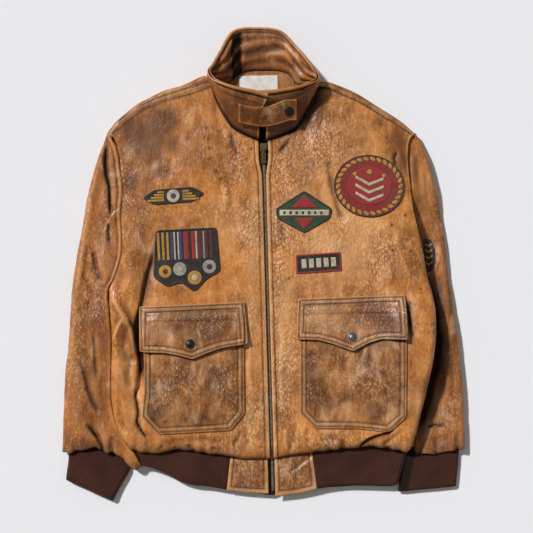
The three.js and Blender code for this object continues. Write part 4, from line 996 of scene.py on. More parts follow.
# Spots on the sleeves, as on the fronts: the long deep spot on the left sleeve is painted shadow cast by the
# body, and the right sleeve's pale spots are painted sheen along its crest
sleeve_spots = {
    "right": dict(
        stain=[(-262, 150, 10, 40, 0.3), (-250, 90, 10, 30, 0.35), (-262, 40, 12, 26, 0.4),
               (-300, -292, 40, 12, 0.5), (-285, -170, 16, 40, 0.35)],
        deep=[(-280, -215, 30, 70, 0.5), (-262, -120, 14, 80, 0.4), (-285, -300, 50, 20, 0.5)],
        pale=[(-309, -200, 8, 90, 0.8), (-292, 60, 8, 90, 0.5), (-300, -40, 8, 60, 0.5)],
        grain=[(-308, -170, 16, 110, 1.0), (-292, 40, 16, 90, 0.7), (-256, 60, 10, 40, 0.8),
               (-285, -60, 30, 60, 0.5)],
    ),
    "left": dict(
        stain=[(246, 160, 8, 44, 0.6), (276, -240, 20, 40, 0.3), (300, -296, 40, 10, 0.45)],
        deep=[(292, -130, 26, 150, 0.75), (284, 20, 20, 60, 0.4), (300, -290, 40, 30, 0.5)],
        pale=[(262, 130, 14, 50, 0.5), (322, -250, 8, 60, 0.5)],
        grain=[(280, 100, 30, 80, 0.3), (312, -240, 20, 70, 0.3)],
    ),
}
SLEEVE_LONG = 560.0
sleeve_leather = leather("sleeve_leather", (168, 100, 40), (86, 48, 22), (208, 146, 90), drift=0.8,
                         clouds=0.8)


def sleeve_grid(side):
    """Outer points of a top sleeve, its relief, and its share of the way to the cuff."""
    e = sleeve_edges[side]
    start = np.array([e["inner"][0], e["outer"][0]], float)

    def low(u):
        return mix(start[0], start[1], np.asarray(u, float)[..., None])

    plan = coons(low, through(e["end"]), through(e["inner"]), through(e["outer"]))
    vs = np.concatenate([np.linspace(0, 0.94, 214), np.linspace(0.94, 1, 20)[1:]])
    us = np.concatenate([np.linspace(0, 0.2, 15)[:-1], np.linspace(0.2, 1, 30)])
    u, v = np.meshgrid(us, vs)
    p = plan(u, v)
    a, b = plan(np.zeros_like(vs), vs), plan(np.ones_like(vs), vs)
    length = np.linalg.norm(b - a, axis=1)
    way = (b - a) / length[:, None]
    small = np.minimum(1, length / 50)
    pit = -41 if side == "right" else 9
    turn = ease((pit + 18 - a[:, 1]) / 36)
    meet = 2.4 * (1 - turn) * small
    a = a - way * meet[:, None]
    roll = 1.8 if side == "right" else 9.0
    off_a = mix(1.6 * small, roll * small, turn) - meet
    shift = off_a[:, None] * (1 - ease(u / 0.45)) - (10 * small)[:, None] * ease((u - 0.55) / 0.45)
    x = p[..., 0] + way[:, :1] * shift
    y = p[..., 1] + way[:, 1:] * shift
    cap = ease((a[:, 1] + 56) / 55 if side == "right" else (a[:, 1] - 62) / 60)[:, None]
    step = 1.6 if side == "right" else 3.4
    if side == "left":
        step = step + 2.2 * ease((a[:, 1] - 110) / 50)
    beside = (ZIP_Z - step - (ZIP_Z - SHOULDER_Z) * ease((a[:, 1] - 71) / 142))[:, None]
    if side == "right":
        z = mix(21.0, mix(beside, 19.0, ease(u / 0.7)), cap)
    else:
        z = mix(mix(8.5, 16.0, ease((x - 272) / 42)), mix(beside, 18.0, ease(u / 0.8)), cap)
    ends = ease((1 - v) / 0.05) * ease(v / 0.05)
    z = z + folded(sleeve_folds[side], x, y) * ends * ease(u / 0.15) * ease((1 - u) / 0.15)
    z = mix(14.5, z, swell((1 - v) / 0.05))
    top = np.stack([x, y, z], axis=-1)
    floor_z = np.full_like(vs, SHEET + SEAM)
    before = rolled_side(a, -way, z[:, 0], floor_z, roll * small, 8 * small, turn)[::-1]
    after = rolled_side(b, way, z[:, -1], floor_z, 10 * small, 7 * small, np.ones_like(vs))
    tuck = before[0].copy()
    tuck[:, :2] -= way * (4.0 * (1 - turn))[:, None]
    tuck[:, 2] -= 2.0 * (1 - turn)
    grid = np.stack([tuck, *before, *np.moveaxis(top, 1, 0), *after], axis=1)
    v_all = np.repeat(vs[:, None], grid.shape[1], axis=1)
    gx, gy = grid[..., 0], grid[..., 1]
    relief = folded(sleeve_creases[side], gx, gy)
    relief += hide_noise(grid, 5.0 if side == "right" else 43.0, [(50, 0.8), (20, 0.55), (10, 0.22)])
    relief += 1.2 * np.sin(gx / 3.9 + 2 * np.sin(gx / 13.0)) * np.exp(-(1 - v_all) * SLEEVE_LONG / 18)
    across = np.arange(grid.shape[1])[None, :]
    relief = relief * ease(across / 6) * ease((grid.shape[1] - 1 - across) / 4) * ease(v_all / 0.03)
    from_seam = np.where(across < 16, 0.0, np.hypot(gx - a[:, :1], gy - a[:, 1:]))
    seen = 1 - turn if side == "right" else np.zeros_like(vs)
    capped = (seen * ease(vs / 0.03))[:, None] * (across < 60)
    welt = bell(from_seam, 3.6, 2.3) * capped
    if side == "right":
        broken = 0.34 + 0.24 * np.sin(a[:, 1] / 15.0 + 1.3 * np.sin(a[:, 1] / 37.0))
        lower = (broken * turn * ease((1 - vs) / 0.05))[:, None] * (across > 8) * (across < 60)
        welt += bell(from_seam, 4.0, 3.4) * lower
    row = bell(from_seam, 7.8, 1.2) * capped
    relief += welt - 0.6 * row
    return grid, relief, v_all, welt, row, capped * (from_seam < 0.8)


sleeves = {}
for side in ("right", "left"):
    grid, relief, along, welt, row, seam_line = sleeve_grid(side)
    grid = pushed(grid, relief, (0, 0, 1), (120, 34))
    trough, ridge = hollow_shade_and_ridges(relief, 5, 1.7, 1.4)
    gx, gy = grid[..., 0], grid[..., 1]
    sewn = np.exp(-(1 - along) * SLEEVE_LONG / 7) * 0.7 + 0.35 * row + 0.3 * seam_line
    # Painted shade in creases and along the painted lines, with the dark seams; the welt's pale line is a
    # painted highlight
    trough = 0.45 * trough * (1 - welt) + sewn + folded(sleeve_painted_shade[side], gx, gy)
    marks = spot_marks(sleeve_spots[side], gx, gy, trough, ridge * 0.7 + 0.8 * welt)
    sleeves[side] = shell(f"sleeve_{side}_upper", grid, WALL, sleeve_leather, marks)
    belongs(sleeves[side], f"sleeve_{side}_top")


# Under sleeves: the hidden lower halves of the sleeves, of the same leather, cut to their plan.
# They lie flat on the floor, inside the rolled edges of the top panels that they are sewn to.
def edge_distance(outline, x, y):
    """Distance of points from a closed outline, and whether they lie inside it."""
    best = np.full(np.shape(x), 1e9)
    inside = np.zeros(np.shape(x), bool)
    for (ax, ay), (bx, by) in zip(outline, [*outline[1:], outline[0]]):
        dx, dy = bx - ax, by - ay
        t = unit(((x - ax) * dx + (y - ay) * dy) / max(dx * dx + dy * dy, 1e-12))
        best = np.minimum(best, np.hypot(x - ax - t * dx, y - ay - t * dy))
        if ay != by:
            crosses = (ay > y) != (by > y)
            inside ^= crosses & (x < (bx - ax) * (y - ay) / (by - ay) + ax)
    return best, inside


def even_loop(outline, step):
    """Closed outline with a point about every step."""
    out = []
    for a, b in zip(outline, [*outline[1:], outline[0]]):
        n = max(1, round(math.dist(a, b) / step))
        out.extend(((a[0] + (b[0] - a[0]) * k / n, a[1] + (b[1] - a[1]) * k / n) for k in range(n)))
    return out


def rounded(outline, radius):
    """Closed outline with its corners rounded."""
    out = []
    n = len(outline)
    for i in range(n):
        p, a, b = (np.array(outline[k % n], float) for k in (i, i - 1, i + 1))
        la, lb = np.linalg.norm(a - p), np.linalg.norm(b - p)
        r = min(radius, 0.45 * la, 0.45 * lb)
        s, e = p + (a - p) / la * r, p + (b - p) / lb * r
        for k in range(5):
            w = k / 4
            out.append(tuple((1 - w) ** 2 * s + 2 * w * (1 - w) * p + w * w * e))
    return out


def inset_loop(outline, distance):
    """Closed outline moved inward."""
    loop = np.array(even_loop(outline, 2.0))
    area = np.sum(loop[:, 0] * np.roll(loop[:, 1], -1) - loop[:, 1] * np.roll(loop[:, 0], -1))
    tangent = np.roll(loop, -2, axis=0) - np.roll(loop, 2, axis=0)
    tangent /= np.maximum(np.linalg.norm(tangent, axis=1, keepdims=True), 1e-9)
    inward = np.stack([-tangent[:, 1], tangent[:, 0]], axis=1) * np.sign(area)
    moved = loop + inward * distance
    d, inside = edge_distance(outline, moved[:, 0], moved[:, 1])
    return moved[inside & (d > 0.93 * distance)]


def patch(name, outline, under, thick, material, fine=1.3, coarse=2.6, border=14.0, marks=None):
    """Closed thin piece cut to a plan outline. under(x, y) is its lower face and thick(x, y, d) its
    thickness at a distance d from the edge; marks(x, y, d) gives its wear and its painted shade and sheen."""
    loop = even_loop(outline, fine)
    ring = len(loop)
    xs, ys = [p[0] for p in loop], [p[1] for p in loop]
    points = [Vector(p) for p in loop]
    for step, keep in ((fine, lambda d: d < border), (coarse, lambda d: d >= border)):
        gx, gy = np.meshgrid(np.arange(min(xs), max(xs), step), np.arange(min(ys), max(ys), step * 0.87))
        gx[1::2] += step / 2
        d, inside = edge_distance(loop, gx, gy)
        chosen = inside & (d > 0.55 * fine) & keep(d)
        points.extend(Vector(p) for p in zip(gx[chosen].tolist(), gy[chosen].tolist()))
    edges = [(i, (i + 1) % ring) for i in range(ring)]
    flat, _, tris, *_ = delaunay_2d_cdt(points, edges, [], 1, 1e-5)
    xy = np.array([(p.x, p.y) for p in flat])
    tris = np.array(tris)
    a, b, c = xy[tris[:, 0]], xy[tris[:, 1]], xy[tris[:, 2]]
    turned = (b[:, 0] - a[:, 0]) * (c[:, 1] - a[:, 1]) - (b[:, 1] - a[:, 1]) * (c[:, 0] - a[:, 0]) < 0
    tris[turned] = tris[turned][:, ::-1]
    d, _ = edge_distance(loop, xy[:, 0], xy[:, 1])
    z0 = under(xy[:, 0], xy[:, 1])
    z1 = z0 + thick(xy[:, 0], xy[:, 1], d)
    n = len(xy)
    verts = np.concatenate([np.column_stack([xy, z1]), np.column_stack([xy, z0])])
    faces = tris.tolist() + (tris[:, ::-1] + n).tolist()
    sides = dict.fromkeys((t[k], t[k - 2]) for t in tris.tolist() for k in (0, 1, 2))
    faces.extend([j, i, i + n, j + n] for i, j in sides if (j, i) not in sides)
    values = marks(xy[:, 0], xy[:, 1], d) if marks else {}
    return link_mesh(name, verts, faces, material, {k: np.concatenate([v, v]) for k, v in values.items()})


under_outlines = {
    "right": [(-259, 203), (-272, 160), (-284, 112), (-293, 60), (-303, 7), (-309, -46), (-314, -111),
              (-319, -177), (-322, -243), (-323, -292), (-308, -289), (-285, -290), (-262, -297),
              (-240, -308), (-222, -322), (-222, -312), (-239, -280), (-242, -240), (-244, -205),
              (-244, -124), (-248, -80), (-250, -45), (-242, -20), (-233, 12), (-232, 40), (-234, 80),
              (-231, 121), (-234.5, 155), (-237.5, 180), (-243, 197), (-249, 207)],
    "left": [(251, 203), (267, 165), (278, 124), (286, 78), (292, 40), (298, -13), (306, -67), (315, -136),
             (321, -210), (323, -256), (324, -290), (290, -294), (255, -298), (250, -252), (247, -178),
             (248, -105), (254, -50), (262, -22), (262.5, 9), (255.5, 43), (249.5, 68), (244.5, 90),
             (240.5, 125), (236.7, 165), (237.5, 192), (243, 205)],
}
for side in ("right", "left"):
    piece = patch(f"sleeve_{side}_lower", under_outlines[side], lambda x, y: np.zeros_like(x),
                  lambda x, y, d: 1.6 + 0.4 * np.sin(x / 9) * np.sin(y / 23), sleeve_leather, fine=4.0,
                  coarse=6.0)
    belongs(piece, f"sleeve_{side}_under")


# Cuffs and hem: dark wool knitted in a one-by-one rib, sewn into the sleeve ends and round
# the hem from tab to tab. The ribs stand as rounded cords with narrow grooves between them.
rib_wool, t, shader = new_paint("rib_wool", Roughness=0.88, Specular_IOR_Level=0.2, Sheen_Weight=0.08,
                                Sheen_Roughness=0.5)
place = t.place((-1100, 0))
loops = t.texture("Voronoi", place, (-900, 100), Scale=820.0)
fuzz = t.noise(place, (-900, -150), Scale=1500.0, Detail=3.0)
worn = t.noise(place, (-900, -400), Scale=24.0, Detail=4.0)
groove = t.mark("groove", (-900, 350))
tone = t.blend(t.band(worn, 0.35, 0.68), linear(58, 30, 20), linear(70, 38, 26))
tone = t.blend(t.band(fuzz, 0.5, 0.75, 0.0, 0.4), tone, linear(88, 52, 37))
# Painted shade in the grooves between the ribs
tone = t.blend(t.math("MULTIPLY", groove, 0.6), tone, linear(30, 15, 11))
# Painted shadow that the body casts on a cuff's end
shade = t.mark("shade", (-900, 600))
tone = t.blend(t.math("MULTIPLY", shade, 0.85), tone, linear(9, 5, 4))
knit = t.math("SUBTRACT", t.math("MULTIPLY", fuzz, 0.6), loops.outputs["Distance"])
t.bump(knit, 0.4, shader)
t.join(tone, shader.inputs["Base Color"])

RIB_PITCH = 3.3
RIB_RISE = 0.55
PER_RIB = 6
CUFF_Z = 10.0
HEM_RIB_Z = 13.5


def cords(turns):
    """Rounded ribs, one to each turn, from 0 in the groove to 1 on top."""
    return np.sqrt(unit(0.5 - 0.5 * np.cos(2 * np.pi * turns)))


cuff_shapes = {
    "right": dict(a=((-217, -332), (-248, -389)), b=((-320, -301), (-325, -354)), bow=14, opens=3),
    "left": dict(a=((229, -303), (221, -374)), b=((322, -297), (317, -365)), bow=0, opens=0),
}
for side, c in cuff_shapes.items():
    wide = math.dist(c["a"][1], c["b"][1])
    ribs = round(wide / RIB_PITCH)
    top_u = np.linspace(0, 1, ribs * PER_RIB + 1)
    cord = cords(top_u * ribs)
    rows = []
    grooves = []
    painted_shadows = []
    for w in np.linspace(0, 1, 18):
        a = mix(np.array(c["a"][0], float), np.array(c["a"][1], float), w)
        b = mix(np.array(c["b"][0], float), np.array(c["b"][1], float), w)
        high = (CUFF_Z + c["opens"] * w * w) * mix(0.6, 1.0, ease(w / 0.2))
        lip = 1 - 0.35 * (1 - swell((1 - w) / 0.07))
        side_fall = swell(np.minimum(top_u, 1 - top_u) / 0.09)
        sway = 0.8 * np.sin(5 * w + 9 * top_u) * np.sin(np.pi * w)
        px = mix(a[0], b[0], top_u) + 0.5 * np.sin(7 * w + 11 * top_u)
        py = mix(a[1], b[1], top_u) + c["bow"] * (1 - w) * np.sin(np.pi * top_u)
        fold_z = high * 0.45
        z_top = mix(fold_z, (high - RIB_RISE + RIB_RISE * cord + sway) * lip + (1 - lip) * fold_z, side_fall)
        z_low = mix(fold_z, 0.25 + RIB_RISE * (1 - cord) + (1 - lip) * high * 0.35, side_fall)
        upper = np.column_stack([px, py, z_top])
        lower = np.column_stack([px, py, z_low])[-2:0:-1]
        rows.append(np.concatenate([upper, lower]))
        # Painted shadow where the body's shade falls across the left cuff's end
        dark = ease((26 - top_u * wide - 8 * w) / 7) * (side == "left")
        grooves.append(np.concatenate([1 - cord, (1 - cord)[-2:0:-1]]))
        painted_shadows.append(np.concatenate([dark, dark[-2:0:-1]]))
    grid = np.stack(rows)
    marks = {"groove": np.stack(grooves) ** 2, "shade": np.stack(painted_shadows)}
    piece = shell(f"cuff_{side}_rib", grid, 1.5, rib_wool, marks, probe=(0.5, 0.25), round_tube=True)
    belongs(piece, f"cuff_{side}")

hem_top = {
    "right": [(-50, -314.5), (-93, -308), (-136, -302), (-168, -306), (-196, -307), (-210, -305)],
    "left": [(75, -308), (133, -300), (180, -297), (208, -301), (236, -307)],
}
hem_low = {
    "right": [(-56, -370.5), (-93, -364), (-115, -362), (-137, -356), (-159, -344), (-181, -335),
              (-198, -330), (-210, -322)],
    "left": [(83, -369), (125, -363), (171, -363), (205, -364), (219, -361)],
}
FRONT_RIBS = 44
BACK_RIBS = 124
FOLD_STEPS = 12


def hem_front(side, w, u):
    return mix(through(hem_top[side])(u), through(hem_low[side])(u), w)


rows = []
grooves = []
for w in np.linspace(-0.06, 1, 17):
    u = np.linspace(0, 0.97, FRONT_RIBS * PER_RIB + 1)
    cord = cords(np.linspace(0, FRONT_RIBS, len(u)))
    high = HEM_RIB_Z + 1.5 * w - 1.2 * (1 - swell((1 - w) / 0.07))
    tucked = 2.8 * ease((7 - u * 155) / 3)
    row = []
    mark = []
    ends = {}
    for side in ("right", "left"):
        p = hem_front(side, w, u)
        sway = 0.7 * np.sin(6 * w + 14 * u) * np.sin(np.pi * max(w, 0))
        z = high - tucked - RIB_RISE + RIB_RISE * cord + sway
        ends[side] = hem_front(side, w, np.array([1.0]))[0]
        e, s = ends[side], -1 if side == "right" else 1
        angles = np.radians(np.linspace(60, -75, FOLD_STEPS))
        r = (high - RIB_RISE) / 2
        fold_x = e[0] - s * (2 - 3.5 * np.cos(angles))
        fold = np.column_stack([fold_x, np.full(FOLD_STEPS, e[1]), r + r * np.sin(angles)])
        row.append((np.column_stack([p, z]), fold))
        mark.append(1 - cord)
    span = np.linspace(0, 1, BACK_RIBS * PER_RIB // 2 + 1)
    back_cord = cords(np.linspace(0, BACK_RIBS, len(span)))
    edge = np.array([(ends["right"][0] + 3, ends["right"][1]), hem_front("right", w, np.array([0.0]))[0],
                     hem_front("left", w, np.array([0.0]))[0], (ends["left"][0] - 3, ends["left"][1])])
    run = np.column_stack([np.interp(span, [0, 0.33, 0.62, 1], edge[:, k]) for k in (0, 1)])
    between = ease(1 - np.abs(run[:, 0] - 12) / 75)
    run[:, 1] += 4 * (1 - w) - 9 * max(w, 0) * between
    lifted = 7.5 * ease((w - 0.2) / 0.6) * ease(1 - np.abs(run[:, 0] - 12) / 24)
    back_run = np.column_stack([run, 0.15 + lifted + 0.35 * (1 - back_cord)])
    rows.append(np.concatenate([row[0][0], row[0][1], back_run, row[1][1][::-1], row[1][0][::-1]]))
    plain = np.zeros(FOLD_STEPS)
    grooves.append(np.concatenate([mark[0], plain, 1 - back_cord, plain, mark[1][::-1]]))
# Painted shade in the grooves between the ribs
marks = {"groove": np.stack(grooves) ** 2}
hem_rib = shell("hem_rib_band", np.stack(rows), 1.5, rib_wool, marks, probe=(0.5, 0.1))
belongs(hem_rib, "hem_rib")


# Hem tabs: two doubled leather ends of the hem band, one on each side of the zip, sewn flat
# round their edges and a little crumpled.
TAB_Z = 14.4
TAB_LOW_Y = -374.0
TAB_WIDE = 66.0
TAB_HIGH = 58.0
TAB_ROW = 7.2
tab_edges = {
    "right": ([(-55, -316), (-20, -317), (7, -317)], [(-61, -370), (-31, -373.5), (8.5, -376)]),
    "left": ([(80, -309), (50, -313), (17, -316)], [(88, -368.5), (53, -376), (19, -380)]),
}


def tab_fall(w):
    return -1.0 * ease((w - 0.5) / 0.5)


def surface_of(*pieces):
    """Search tree of the outer faces of pieces in place, for setting others on them."""
    verts = []
    faces = []
    for o in pieces:
        start = len(verts)
        verts.extend([tuple(c / MM for c in v.co) for v in o.data.vertices])
        faces.extend([[start + i for i in p.vertices] for p in o.data.polygons])
    return BVHTree.FromPolygons(verts, faces)


def height_on(tree, x, y, missing=0.0):
    """Height of the top face of a search tree under each point."""
    out = []
    for a, b in zip(np.ravel(x).tolist(), np.ravel(y).tolist()):
        hit = tree.ray_cast(Vector((a, b, 200.0)), Vector((0, 0, -1)))[0]
        out.append(missing if hit is None else hit.z)
    return np.array(out).reshape(np.shape(x))


thread_tan, t, shader = new_paint("thread_tan", Roughness=0.75)
place = t.place((-900, 0))
grime = t.noise(place, (-700, 100), Scale=60.0, Detail=3.0)
twist = t.noise(place, (-700, -150), Scale=2600.0)
t.join(t.blend(t.band(grime, 0.35, 0.65), linear(150, 100, 60), linear(92, 56, 32)),
       shader.inputs["Base Color"])
t.bump(twist, 0.1, shader)


def stitches(name, paths, tree, material, pitch=3.3, long=2.5, thick=0.42, sink=0.1):
    """Rows of sewing: one short rounded stitch after another along plan paths, laid on a surface."""
    ring = 5
    profile = [(-0.5, 0.0), (-0.38, 0.8), (0.0, 1.0), (0.38, 0.8), (0.5, 0.0)]
    verts = []
    faces = []
    for path in paths:
        path = np.asarray(path, float)
        step = np.concatenate([[0], np.cumsum(np.linalg.norm(np.diff(path, axis=0), axis=1))])
        for s in np.arange(pitch / 2, step[-1], pitch):
            both = np.array([s - long / 2, s + long / 2])
            ends = np.column_stack([np.interp(both, step, path[:, j]) for j in (0, 1)])
            z = height_on(tree, ends[:, 0], ends[:, 1], -1.0)
            if z.min() < 0 or abs(z[0] - z[1]) > 2.5:
                continue
            p, q = np.array([*ends[0], z[0] - sink]), np.array([*ends[1], z[1] - sink])
            along = q - p
            size = np.linalg.norm(along)
            if size < 0.5:
                continue
            along /= size
            across = np.cross((0, 0, 1), along)
            across /= np.linalg.norm(across)
            up = np.cross(along, across)
            middle = (p + q) / 2
            start = len(verts)
            for f, w in profile:
                for k in range(ring):
                    a = 2 * math.pi * k / ring
                    spread = across * math.cos(a) + up * math.sin(a)
                    verts.append(middle + along * f * long + spread * max(w, 0.15) * thick)
            rings = len(profile)
            for i in range(rings - 1):
                for k in range(ring):
                    m = (k + 1) % ring
                    faces.append([start + i * ring + k, start + i * ring + m,
                                  start + (i + 1) * ring + m, start + (i + 1) * ring + k])
            faces.append([start + k for k in range(ring)][::-1])
            faces.append([start + (rings - 1) * ring + k for k in range(ring)])
    return link_mesh(name, verts, faces, material)


def sewing(name, paths, tree, material=thread_tan, **settings):
    piece = stitches(name, paths, tree, material, **settings)
    belongs(piece)
    return piece


tab_leather = leather("tab_leather", (158, 98, 46), (82, 48, 24), (214, 162, 112), clouds=1.0)
tab_seeds = {"right": 8.0, "left": 8.0 + 5 / 61}
tab_crease = [([(84, -312), (68, -322), (54, -334), (40, -342)], 4.5, 1.0, -0.4)]
tabs = {}
for side, (top_line, low_line) in tab_edges.items():
    u, w = np.meshgrid(np.linspace(0, 1, 62), np.linspace(0, 1, 50))
    plan = mix(through(top_line)(u), through(low_line)(u), w[..., None])
    d = np.minimum(np.minimum(u, 1 - u) * TAB_WIDE, np.minimum(w + 0.2, 1 - w) * TAB_HIGH)
    z = TAB_Z - tab_fall(w) + 1.2 * np.sin(np.pi * w) * np.sin(np.pi * u)
    grid = np.concatenate([plan, z[..., None]], axis=-1)
    relief = hide_noise(grid, tab_seeds[side], [(30, 1.2), (13, 1.0), (6, 0.35)])
    relief = relief * ease(d / 5) - bell(d, TAB_ROW, 1.0) - 1.5 * (1 - swell(d / 2.4))
    relief -= 1.2 * bell(w * TAB_HIGH, 0, 5)
    crease = folded(tab_crease, plan[..., 0], plan[..., 1])
    grid[..., 2] += relief - 2.4 * crease
    trough, ridge = hollow_shade_and_ridges(relief, 3, 1.4, 1.0)
    sewn = 0.5 * bell(w * TAB_HIGH, 0, 3) + 0.6 * bell(d, TAB_ROW, 1.2)
    # Painted shade in the hollows and along the crease, with the dark seams
    marks = {
        "trough": unit(0.4 * trough + sewn + 0.3 * crease),
        "rub": unit(0.6 * ridge + 0.7 * bell(d, 0, 5)),
        "deep": 0.25 * ease((d - 7) / 3),
        "grain": 0.25 * ease((d - 8) / 4),
    }
    tabs[side] = shell(f"hem_tab_{side}_end", grid, 2.2, tab_leather, marks)
    belongs(tabs[side], f"hem_tab_{side}")
    inset = [(0.891, 0.06), (0.891, 0.876), (0.109, 0.876), (0.109, 0.06)]
    rows = []
    for a, b in zip(inset, inset[1:]):
        k = np.linspace(0, 1, 30)
        uu, ww = mix(a[0], b[0], k), mix(a[1], b[1], k)
        rows.append(mix(through(top_line)(uu), through(low_line)(uu), ww[:, None]))
    sewing(f"hem_tab_{side}_sewing", rows, surface_of(tabs[side]))


# Collar: a stand-up band of two leathers, sewn to the neck and tilted back, its front ends
# lapped under the throat strap. The rim is turned over a cord and stitched below it.
COLLAR_WALL = 3.0
COLLAR_LONG = 560.0
COLLAR_HIGH = 62.0
NECK_Y = 262.0
NECK_CENTRE = np.array([0, NECK_Y])
collar_base = [
    (-8, 204.5, 28.2), (-25, 211, 28.2), (-42, 220, 28.4), (-54, 231, 28.4), (-66, 250, 28.2),
    (-76, 271, 27.6), (-84, 293, 26.4), (-64, 298, 13), (-47, 311, 5.5), (-30, 320, 4.4), (0, 321.5, 4.2),
    (30, 320, 4.4), (45, 312, 5.5), (58, 297, 13), (86, 293, 26.4), (78, 271, 27.6), (67, 248, 28.2),
    (54, 226, 28.4), (42, 217.5, 28.4), (26, 211, 28.2), (4, 203.5, 28),
]
collar_rim = [
    (7, 273.5, 66), (-15, 279, 66), (-38, 283.5, 65), (-58, 289, 62), (-74, 294.5, 57), (-84, 301, 51),
    (-89, 312, 45), (-83, 325, 40), (-72, 346, 33), (-50, 382, 22), (-8, 388, 17), (28, 382, 19),
    (53, 356, 28), (75, 328, 37), (87, 307, 43), (85, 297, 50), (72, 291, 56), (54, 286.5, 59),
    (38, 283.5, 60), (18, 280.5, 60), (-8, 279, 58),
]
collar_leather = leather("collar_leather", (150, 90, 40), (84, 47, 20), (206, 140, 78), 260.0, drift=0.4,
                         clouds=0.7, shine=0.5)


def from_neck(p):
    """Directions in plan away from the middle of the neck."""
    out = p[..., :2] - NECK_CENTRE
    return out / np.linalg.norm(out, axis=-1, keepdims=True)


def collar_at(t, w):
    """Point on the collar's outer face: t from the right end to the left, w from seam to rim."""
    b, r = through(collar_base, False)(t), through(collar_rim, False)(t)
    p = mix(b, r, w[..., None])
    out = from_neck(p)
    side = ease((np.abs(b[..., 0]) - 45) / 35)
    bow = np.sin(np.pi * unit(w))
    late = ease((w - 0.4) / 0.6) - w
    p[..., 0] += (r[..., 0] - b[..., 0]) * late * bell(np.minimum(t, 1 - t) * COLLAR_LONG, 0, 40)
    p[..., :2] += out * (5 * side * bow)[..., None]
    p[..., 2] += 3 * (1 - side) * bow
    return p


w_steps = [np.linspace(-0.3, 0, 6)[:-1], np.linspace(0, 0.84, 24)[:-1], np.linspace(0.84, 1, 12)]
t_all, w_all = np.meshgrid(np.linspace(0, 1, 250), np.concatenate(w_steps))
grid = collar_at(t_all, np.maximum(w_all, 0))
below = unit(-w_all / 0.3)
round_back = ease((grid[0, :, 1] - NECK_Y) / 40)[None, :]
grid[..., 2] = mix(grid[..., 2], mix(grid[..., 2] - 7.5, 1.2, round_back), below)
grid[..., :2] += from_neck(grid) * (4.5 * below * (1 - round_back))[..., None]
from_rim = (1 - w_all) * COLLAR_HIGH
end = np.minimum(t_all, 1 - t_all) * COLLAR_LONG
at_front = ease((NECK_Y - grid[0, :, 1]) / 30)[None, :] * np.ones_like(w_all)
relief = hide_noise(grid, 17.0, [(40, 1.0), (18, 0.7), (8, 0.3)])
relief *= ease(from_rim / 12) * ease(w_all * COLLAR_HIGH / 8)
relief += 1.8 * bell(from_rim, 2.8, 2.6) - bell(from_rim, 7.2, 1.2)
lap_row = bell(from_rim, 16, 1.1) * at_front
relief -= 0.8 * lap_row
grid = pushed(grid, relief, (0, -0.4, 0.9), (22, 20))
wrinkle = np.sin(w_all * 21 + 2.5 * np.sin(t_all * 19) + 4 * t_all) + 0.8 * np.sin(w_all * 9 - t_all * 60)
lining = 1.5 * wrinkle * ease((from_rim - 9) / 10) * ease((w_all - 0.02) / 0.2)
wall = COLLAR_WALL + lining + 3.0 * bell(from_rim, 2.8, 2.6) - 0.8 * bell(from_rim, 7.6, 1.3)
wall = np.maximum(wall, 1.0) * swell((from_rim + 0.5) / 2.4)
trough, ridge = hollow_shade_and_ridges(relief, 3, 1.2, 1.2)
seam_shade = bell(np.maximum(w_all, 0) * COLLAR_HIGH, 0, 4)
end_edge = np.exp(-(((end - 2.5) / 3.0) ** 4)) * at_front
rim_rub = 0.6 * np.exp(-(from_rim / 5.5) ** 4)
under_rim = ease((from_rim - 6) / 4)
gx, gy = grid[..., 0], grid[..., 1]
# Painted sheen on the collar front
sheen = spots([(27, 216, 11, 5, 0.8), (-32, 226, 10, 6, 0.6), (-46, 240, 8, 12, 0.4)], gx, gy)
# Painted shade on the collar front below the rim, given through the stain mark
collar_front_shade = (0.8 + 0.5 * ease((gx + 10) / 60)) * at_front * mix(0.7, 1.0, ease((from_rim - 15) / 2))
marks = {
    "trough": unit(trough + 0.8 * seam_shade + 0.7 * bell(from_rim, 7.4, 1.4) + 0.6 * lap_row),
    "rub": unit(ridge * 0.4 + rim_rub + 0.9 * end_edge + sheen),
    "stain": (1 - end_edge) * collar_front_shade * under_rim,
}
# Painted shadow: a near-black band inside the collar's left back; painted shade also in the lining's wrinkles
painted_shadow_band = ease((gx + 56) / 4) * ease((-35 - gx) / 4) * ease((gy - 284) / 8) * under_rim
inside = {
    "trough": unit(0.5 * unit(-lining) + 0.6 * seam_shade + 0.7 * bell(from_rim, 7.6, 1.5) + painted_shadow_band),
    "rub": unit(0.35 * unit(lining) + rim_rub),
    "stain": np.zeros_like(w_all),
}
collar = shell("collar_band", grid, wall, collar_leather, marks, up=(0, -0.4, 0.9), probe=(0.6, 0.08),
               inside=inside)
belongs(collar, "collar")


# Neck facing and label: a leather lining piece across the back of the neck, with a bare
# woven cloth label sewn on all round
facing_outline = rounded([(-47, 319), (47, 319), (52, 285), (44, 258), (-44, 258), (-52, 285)], 6)
facing_leather = leather("facing_leather", (166, 108, 62), (108, 66, 36), (198, 142, 92), 300.0, drift=0.3,
                         relief=0.4)
FACING_Z = SHEET + SEAM
facing = patch(
    "neck_facing_piece",
    facing_outline,
    lambda x, y: np.full_like(x, FACING_Z),
    lambda x, y, d: 1.4 * swell((d + 0.4) / 1.6) + 0.3 * np.sin(x / 12) * np.sin(y / 10),
    facing_leather,
    marks=lambda x, y, d: {"rub": 0.5 * bell(d, 0, 2.5), "trough": 0.5 * bell(d, 4, 1.2)},
)
belongs(facing, "neck_facing")
label_cloth, t, shader = new_paint("label_cloth", Roughness=0.85)
place = t.place((-1100, 0))
soil = t.noise(place, (-900, 200), Scale=70.0, Detail=5.0)
warp = t.texture("Wave", place, (-900, -50), bands_direction="X", Scale=520.0, Distortion=0.6)
weft = t.texture("Wave", place, (-900, -300), bands_direction="Y", Scale=620.0, Distortion=0.6)
